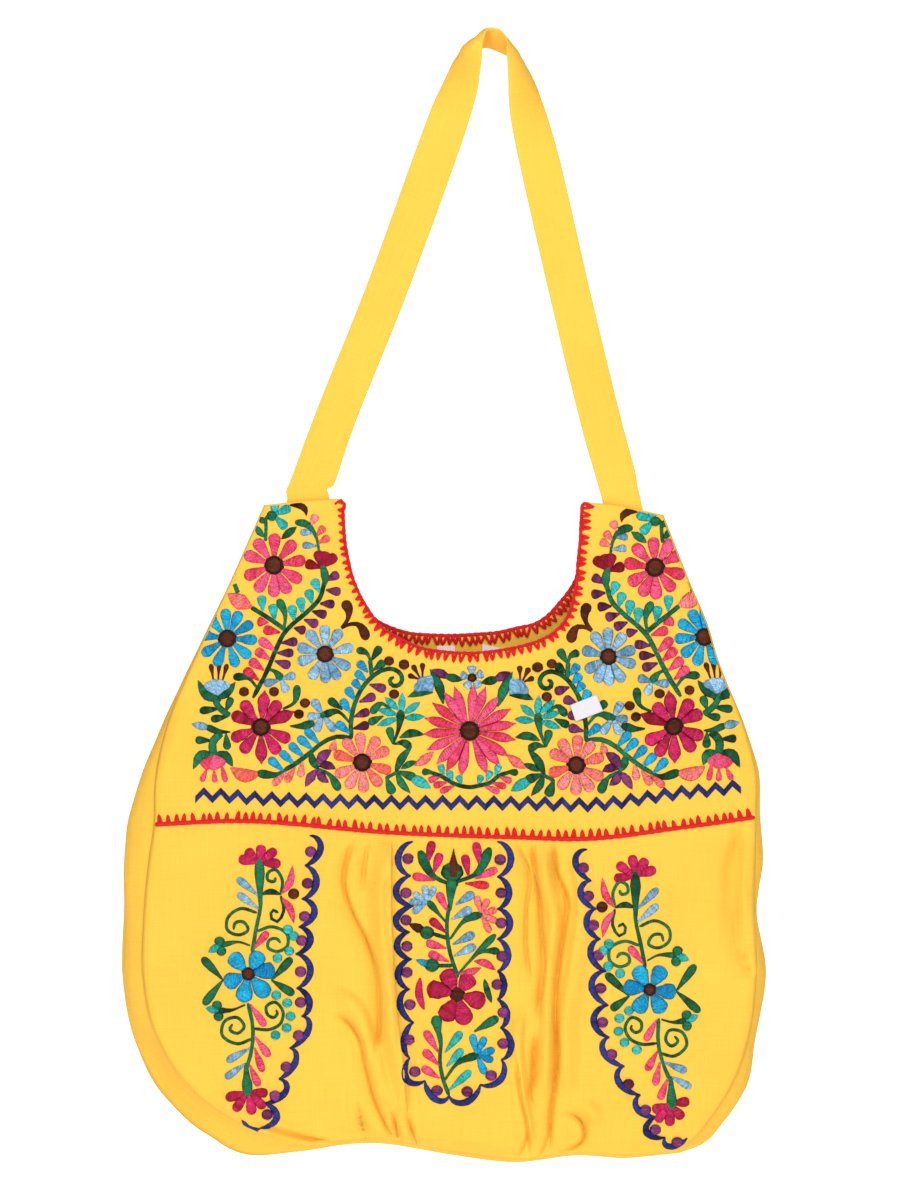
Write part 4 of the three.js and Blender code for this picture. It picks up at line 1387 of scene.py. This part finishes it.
def thread_material():
    """Glossy embroidery thread in the colour of each point, which holds the thread's tones with painted sheen
    and painted shade: fine stitches that run across a stroke, as streaks in the colour and ridges in the
    bump."""
    material, shader = finish_material("embroidery_thread", {"Roughness": 0.55, "Specular IOR Level": 0.15})
    uv = shader.node("TexCoord", output="UV")
    # The point colour holds painted sheen and painted shade.
    colour = shader.node("Attribute", attribute_name="thread_colour_with_painted_light", output="Color")
    drawn = shader.node("Mapping", {"Vector": uv, "Scale": (1300.0, 150.0, 1.0)})
    streak = shader.node("TexNoise", {"Vector": drawn, "Scale": 1.0, "Detail": 2.0}, output="Fac")
    speck = shader.node("TexNoise", {"Vector": uv, "Scale": 900.0, "Detail": 2.0}, output="Fac")
    shade = streak * STREAK_SHADE + speck * SPECK_SHADE - SHADE_DROP
    shader.node("VectorMath", {0: colour, "Scale": shade}, operation="SCALE").into(shader, "Base Color")
    ridge = (shader.node("SeparateXYZ", {"Vector": uv}, output="X") * RIDGE_RATE).sin()
    height = ridge * RIDGE_SHARE + streak
    shader.node("Bump", {"Height": height, "Strength": 0.5, "Distance": 0.0005}).into(shader, "Normal")
    return material


embroidery_thread = thread_material()


def embroidered(name, chart, seed):
    """All strokes of a chart as one piece on the front."""
    piece = tube_object(name, *satin(chart, seed))
    piece.data.materials.append(embroidery_thread)
    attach(piece, "root")


embroidered("yoke_embroidery", yoke, seed=71)

# Side sprays
# Each side of the lower panel has a long spray: two fans of crimson, spirals, buds and a blue flower, beside
# a scalloped border of royal blue with a purple dot in each scallop. The right one mirrors the left and leans
# out.

spray = Chart()
spray.strokes("stem", "green", 1.9, [
    ((260.4, 880), (261, 905.5), (256.4, 929), (252.5, 952)),
    ((248.4, 1002), (253.3, 1025.8), (252.5, 1046.7), (246, 1073), (246, 1093.8)),
])
spray.strokes("stem", "green", 1.6, [
    ((257.4, 912), (240.8, 908), (227.7, 918.6), (227.7, 929), (240.8, 934), (248.6, 929), (243.4, 921),
     (235.5, 922.5), (234, 929)),
    ((281.3, 893), (282.5, 879), (274.7, 869), (268.2, 872.8), (268.2, 879.4), (274.7, 880.7), (276, 876.8)),
    ((281.3, 895), (284, 910.8), (277.4, 921), (270.8, 916), (273.4, 909.4), (278.7, 912)),
    ((257.8, 930.4), (272, 926), (287.8, 934.3), (287.8, 944.7), (277.4, 950.5), (268.2, 946), (269.5, 939.5),
     (277.4, 938), (281, 942)),
    ((254.7, 1027.5), (270.2, 1028.2), (280.7, 1022.6), (283.5, 1010.7), (275, 1000.9), (266.7, 1005.8),
     (268.8, 1014.2), (274.4, 1016.3), (277.9, 1012), (276.5, 1008.6)),
    ((252.5, 1037.6), (238, 1042.8), (222.4, 1033.7), (225, 1020.6), (238, 1016.7), (244.7, 1025.8),
     (238, 1032.4), (230.3, 1028.4), (233, 1023)),
])
spray.strokes("bulb", "green", 5.2, [((260.8, 905), (259.6, 859)), ((246.3, 1062), (248, 1096))])
spray.strokes("drop", "sky", 4, [
    ((258.5, 895), (237.5, 877.5)),
    ((259, 908), (238, 893)),
    ((251, 1046.7), (227, 1060.5)),
    ((246, 1062.4), (225.5, 1077.5)),
])
spray.strokes("drop", "pink", 4, [
    ((253.3, 948.6), (268.5, 931)),
    ((250.5, 1003), (265.8, 1025)),
    ((255, 1035), (270, 1055.5)),
    ((255, 1046.7), (263.3, 1071)),
    ((250, 1063.7), (259.3, 1085.5)),
])
spray.strokes("leaf", "green", 3.2, [((261, 894), (271, 891), (282, 894))])
spray.strokes("leaf", "pink", 3.9, [
    ((281.3, 896.4), (290, 907), (294.4, 922.5)),
    ((281.3, 893.8), (290, 882), (293, 865)),
])
spray.dots("brown", 5.3, [(294, 893)])
spray.dots("teal", 4.6, [
    (288.3, 928.5), (294, 935), (289.7, 950), (277.9, 957), (276.8, 993.9), (287.7, 1001.6), (290.9, 1014.9),
    (287, 1026.5), (276, 1034),
])
spray.strokes("club", "green", 2.8, [
    ((250.5, 944.7), (239.3, 941.2), (226.7, 943.3), (220, 945)),
    ((245.6, 1003.7), (231.6, 1009.3), (218, 1009.5)),
])
spray.dots("green", 4.6, [(220, 940.5), (221.8, 950.4), (217.5, 1004.4), (219, 1015.6)])
spray.strokes("leaf", "teal", 4, [((222, 944), (208.5, 951.6)), ((220, 1010), (206, 1007.3))])
spray.strokes("drop", "green", 4.2, [
    ((223.5, 979), (202.5, 957)),
    ((223.5, 979), (204, 1004)),
    ((272, 979), (292.3, 957)),
    ((272, 979), (294.5, 993)),
])

left_spray = Chart()
left_spray.fan("crimson", 5.2, (259.6, 863), [
    (239, 858), (246.5, 849), (261.7, 844.5), (276.5, 849), (281, 863),
])
left_spray.fan("crimson", 5.2, (248.6, 1091), [
    (226, 1097.7), (234.5, 1110.5), (252.5, 1114), (265, 1107.5), (268, 1092.5),
])
left_spray.rows += spray.rows
BLUE_PETALS = ((132, 26), (60, 25), (9, 27), (-48, 30), (-101, 29), (-157, 26))
left_spray.flower("blue", (248.8, 972.8), 6.6, 8, BLUE_PETALS, "round")

LEFT_MIDDLE = (249, 973)
RIGHT_MIDDLE = (649, 989)
# How the right spray differs from a mirror image, above and below its blue flower: its lean in columns to a
# row, and its length. Its right side is raised, and beside the border it bows out over some rows and columns.
LEAN = {"above": 0.03, "below": 0.175}
STRETCH = {"above": 1.037, "below": 0.976}
RIGHT_RISE = 0.18
BOW = 3.5
BOW_ROWS = (0, 12, 85, 125)
BOW_COLUMNS = (0, 15)


def leaning(line):
    """The place on the right spray: mirrored about the blue flower, leaning out below it and raised at the
    right."""
    column, row = (line - LEFT_MIDDLE).T
    below = row > 0
    right = -column
    bow = BOW * ease(row, *BOW_ROWS[:2]) * (1 - ease(row, *BOW_ROWS[2:])) * (1 - ease(right, *BOW_COLUMNS))
    out = right + row * np.where(below, LEAN["below"], LEAN["above"]) + bow
    down = row * np.where(below, STRETCH["below"], STRETCH["above"]) - RIGHT_RISE * np.maximum(0, right)
    return np.stack([out, down], -1) + RIGHT_MIDDLE


right_spray = Chart()
right_spray.fan("crimson", 5.2, (635, 876), [
    (613.5, 878), (616.5, 863), (631.5, 854.5), (646, 858), (655.5, 868.5),
])
right_spray.fan("crimson", 5.2, (670, 1103), [
    (652, 1109.5), (656, 1121), (669.4, 1125.5), (682.5, 1118), (689, 1100.5),
])
right_spray.moved(spray.rows, leaning)
right_spray.flower("blue", (649.2, 988.5), 6.4, 7.8, ring(26.5, 121, 59, -6, 174, -121, -60), "round")

SCALLOP_POINTS = 9
SCALLOP_HALF = 3.3
SCALLOP_INSET = 3.2
SCALLOP_ROUND = 0.65
SCALLOP_DOT = 5.3


def border(chart, cusps, bulges, dots):
    """Scallops from cusp to cusp, with their dots. Each is the chord moved by (1 - (2 t - 1)^2)^round
    towards its bulge, and ends short of that by the inset."""
    t = (1 - np.cos(np.linspace(0, np.pi, SCALLOP_POINTS)[:, None])) / 2
    arch = (1 - (2 * t - 1) ** 2) ** SCALLOP_ROUND
    cusps = np.array(cusps, float)
    middles = (cusps[:-1] + cusps[1:]) / 2
    for start, end, swell in zip(cusps[:-1], cusps[1:], bulges - middles):
        swell *= 1 - SCALLOP_INSET / np.linalg.norm(swell)
        chart.strokes("arc", "royal", SCALLOP_HALF, [start + (end - start) * t + swell * arch])
    chart.dots("purple", SCALLOP_DOT, dots)


border(
    left_spray,
    cusps=[
        (310, 835), (305, 865), (302, 898), (299, 926), (296, 953), (297, 987), (302, 1015), (290, 1047),
        (279, 1078), (264, 1103), (260, 1128),
    ],
    bulges=[
        (324, 848), (320, 882), (318, 911), (314, 939), (314, 968), (313, 1000), (312, 1028), (299, 1060),
        (289, 1091), (280, 1117),
    ],
    dots=[
        (311, 851), (308, 882.5), (305, 915.5), (302, 939.5), (301, 970.4), (301, 1001), (299, 1034),
        (286.5, 1065.8), (275.3, 1095), (267.4, 1114),
    ],
)
left_spray.strokes("arc", "royal", 3, [((242, 1120), (250, 1129), (260, 1129))])
border(
    right_spray,
    cusps=[
        (587, 849), (591, 880), (596, 908), (600, 938), (606, 970), (608, 1004), (609, 1036), (624, 1065),
        (640, 1094), (656, 1116), (665, 1137), (687, 1138),
    ],
    bulges=[
        (572, 861), (577, 892), (583, 922), (587, 953), (588, 984), (590, 1019), (600, 1051), (615, 1081),
        (634, 1109), (643, 1132), (668, 1149),
    ],
    dots=[
        (583, 867), (588, 895), (593, 924), (598, 954), (600, 987), (602, 1021), (611, 1053), (628, 1083),
        (645, 1109), (655, 1129), (677, 1142),
    ],
)

embroidered("left_spray_embroidery", left_spray, seed=72)
embroidered("right_spray_embroidery", right_spray, seed=73)

# Centre spray
# Between the gathers a taller spray climbs past a crimson flower to a rosebud, inside a scalloped border that
# closes round its foot.

centre_spray = Chart()
centre_spray.strokes("stem", "green", 2, [
    ((450.3, 900), (446.9, 921), (449, 947.4), (458, 976)),
    ((440, 1030), (441, 1041.5), (439.8, 1057), (442.4, 1075.5), (449, 1094)),
    ((452, 964.4), (433, 964.4)),
    ((447, 937), (429.4, 931.7)),
])
centre_spray.strokes("club", "green", 5.3, [
    ((458, 884), (446.4, 882), (432, 874), (419.5, 850)),
    ((449, 884), (458, 880.7), (476.4, 872.8), (490, 847)),
])
centre_spray.strokes("club", "green", 5.5, [((441, 1045), (435.5, 1014))])
centre_spray.strokes("oval", "green", 10.6, [((452.2, 880), (452.2, 862))])
centre_spray.strokes("bud", "brown", 5.3, [((453, 876.5), (453.6, 848))])
centre_spray.strokes("drop", "green", 5.5, [((450.3, 910), (450.5, 895), (452.2, 875))])
centre_spray.strokes("drop", "magenta", 4.6, [
    ((426.8, 865), (432.5, 840.5)),
    ((433.3, 873), (440.5, 852.5)),
    ((480.4, 867), (475.5, 841.5)),
    ((468.6, 876), (464.5, 854)),
])
centre_spray.strokes("drop", "pink", 4.4, [
    ((447.7, 911), (438, 891.5)),
    ((446.4, 947.4), (426, 941.5)),
    ((449, 960.4), (428.5, 952)),
    ((438.5, 1050.7), (425, 1029)),
    ((439.3, 1063.7), (423.5, 1048.5)),
    ((439.8, 1076.8), (422, 1065.5)),
    ((435, 879.5), (412.5, 875)),
    ((475, 878), (497, 868.5)),
    ((465, 882.5), (489, 885)),
])
centre_spray.strokes("drop", "crimson", 4.3, [((446.4, 931.7), (430, 918))])
centre_spray.fan("sky", 3.6, (427, 902), [
    (409, 901), (413.5, 892), (424.5, 884.5), (435, 885.5), (412.5, 912),
])
centre_spray.strokes("club", "green", 3.6, [((447, 922.5), (438, 912), (427.5, 900))])
centre_spray.strokes("drop", "sky", 4.5, [
    ((455.5, 904), (474, 892)),
    ((451.6, 918.6), (471.5, 907.5)),
    ((453, 943.4), (474.5, 932.5)),
    ((454.2, 955), (475.5, 944.5)),
])
centre_spray.fan("salmon", 3.7, (480.5, 913), [
    (476.5, 895), (488, 898), (496.5, 908.5), (496.5, 920.5), (490, 931.5),
])
centre_spray.strokes("club", "green", 4, [((450, 938), (466, 918.6), (483, 913))])
centre_spray.dots("green", 6.5, [(427, 931.7), (432, 964)])
centre_spray.strokes("leaf", "brown", 4.6, [((427, 931), (409, 923))])
centre_spray.strokes("leaf", "blue", 3.8, [((435, 966), (415.5, 958.3))])
centre_spray.strokes("club", "green", 3.6, [
    ((457, 974), (476.4, 952.6), (495.5, 933.5)),
    ((474, 954), (486, 950), (499.5, 950)),
])
centre_spray.strokes("leaf", "pink", 4, [
    ((474, 960), (485, 962), (495.5, 969)),
    ((458.5, 973), (470, 971), (481, 966.5)),
])
CENTRE_FLOWER = np.array((457.4, 993))
CENTRE_START = 0.2
CENTRE_TIPS = np.array(((445, 968.5), (471.5, 973.5), (485, 1001), (466, 1023), (443.5, 1019), (427, 986.5)))
centre_starts = CENTRE_FLOWER + (CENTRE_TIPS - CENTRE_FLOWER) * CENTRE_START
centre_spray.strokes("round", "crimson", 8.8, zip(centre_starts, CENTRE_TIPS))
centre_spray.dots("brown", 7, [CENTRE_FLOWER])
centre_spray.strokes("arc", "crimson", 4, [((420.2, 976.5), (419, 992), (424, 1008))])
centre_spray.strokes("arc", "green", 3.2, [((484.3, 978), (487, 989), (491.3, 1001))])
centre_spray.strokes("drop", "teal", 4.2, [
    ((445, 1050.7), (461.5, 1030)),
    ((446.4, 1065), (462.7, 1047.3)),
    ((449, 1088.6), (470.7, 1069.3)),
])
centre_spray.strokes("drop", "green", 4.5, [((474, 1030), (498, 1016))])
centre_spray.fan("blue", 3.9, (476.4, 1053.3), [
    (472, 1032.5), (485, 1035.3), (494.5, 1048), (493, 1059), (485, 1072.5),
])
centre_spray.strokes("club", "green", 4, [((445, 1078), (458, 1061), (479, 1053))])
border(
    centre_spray,
    cusps=[
        (413, 841), (411, 875), (414, 905), (410, 931), (412, 958), (410, 988), (414, 1021), (410, 1056),
        (425, 1079), (449, 1094), (480, 1083), (501, 1058), (500, 1026), (497, 998), (497, 970),
        (497, 938), (497, 908), (497, 876), (497, 841),
    ],
    bulges=[
        (395, 858), (393, 892), (393, 919), (394, 945), (395, 972), (397, 1002), (401, 1038),
        (404.5, 1080), (435, 1101), (466, 1104), (503, 1080), (514, 1044), (510, 1013), (507, 984),
        (511, 954), (513, 922), (512, 892), (514, 858),
    ],
    dots=[
        (408, 858), (406, 892), (406, 919), (407, 945), (407, 971), (410, 1003), (409, 1038), (415, 1070),
        (437, 1089), (500, 859), (501, 892), (501, 922), (502, 955), (497, 983), (503, 1011), (503, 1042),
        (491, 1074), (467, 1090),
    ],
)
embroidered("centre_spray_embroidery", centre_spray, seed=74)

# Stage: pale floor, soft light and the camera
# The bag hangs clear of a pale floor. Soft lights stand in front of it at the left, at the right and above,
# and a weaker one behind it. The camera looks at it level, from the front.

# The stage is in metres. The camera sees the view's height at its distance from the near side of the bag.
FLOOR_Z = -0.86
FLOOR_SIZE = 60.0
VIEW_CENTRE = np.array((-30.8, 0, -362.9)) * MM
VIEW_HEIGHT = 0.786
VIEW_DISTANCE = 6.0
NEAR_SIDE = 0.022
# Light that the floor and the backdrop give off, and what they add where the camera sees them.
FLOOR_GLOW = 0.55
FLOOR_SEEN = 0.5
BACKDROP_GLOW = 0.3
BACKDROP_SEEN = 0.9

floor_mesh = bpy.data.meshes.new("floor")
floor_corners = np.array([(-1, -1, 0), (1, -1, 0), (1, 1, 0), (-1, 1, 0)]) * FLOOR_SIZE / 2 + (0, 0, FLOOR_Z)
floor_mesh.from_pydata(floor_corners.tolist(), [], [(0, 1, 2, 3)])
floor = bpy.data.objects.new("floor", floor_mesh)
bpy.context.scene.collection.objects.link(floor)
FLOOR_LOOK = {"Base Color": (0.85, 0.85, 0.85, 1), "Roughness": 0.9, "Emission Strength": 1.0}
floor_material, floor_shader = finish_material("pale_floor", FLOOR_LOOK)
floor_seen = floor_shader.node("LightPath", output="Is Camera Ray")
(floor_seen * FLOOR_SEEN + FLOOR_GLOW).into(floor_shader, "Emission Color")
floor_mesh.materials.append(floor_material)


def soft_light(name, place_m, size, watts):
    """A square area light at a place, turned to the middle of the bag."""
    data = bpy.data.lights.new(name, "AREA")
    data.size, data.energy = size, watts
    light = bpy.data.objects.new(name, data)
    light.location = place_m
    to_bag = Vector(VIEW_CENTRE) - Vector(place_m)
    light.rotation_euler = to_bag.to_track_quat("-Z", "Y").to_euler()
    bpy.context.scene.collection.objects.link(light)


soft_light("left_light", place_m=(-2.8, -5.2, 0.8), size=1.4, watts=87)
soft_light("right_light", place_m=(1.6, -5.2, 0.8), size=2.0, watts=61)
soft_light("top_light", place_m=(0.4, -3.0, 2.4), size=1.0, watts=58)
soft_light("back_light", place_m=(0.4, 2.6, 0.9), size=2.0, watts=30)

world = bpy.data.worlds.new("studio")
world.use_nodes = True
bpy.context.scene.world = world
backdrop = Value(world.node_tree, world.node_tree.nodes["Background"].outputs[0])
seen = backdrop.node("LightPath", output="Is Camera Ray")
(BACKDROP_GLOW + seen * BACKDROP_SEEN).into(backdrop, "Strength")
backdrop.socket.node.inputs["Color"].default_value = (1, 1, 1, 1)
bpy.context.scene.view_settings.view_transform = "Standard"

camera = bpy.data.cameras.new("camera")
camera.lens = camera.sensor_width * VIEW_DISTANCE / VIEW_HEIGHT
view = bpy.data.objects.new("camera", camera)
view.location = (VIEW_CENTRE[0], -VIEW_DISTANCE - NEAR_SIDE, VIEW_CENTRE[2])
view.rotation_euler = (np.pi / 2, 0, 0)
bpy.context.scene.collection.objects.link(view)
bpy.context.scene.camera = view
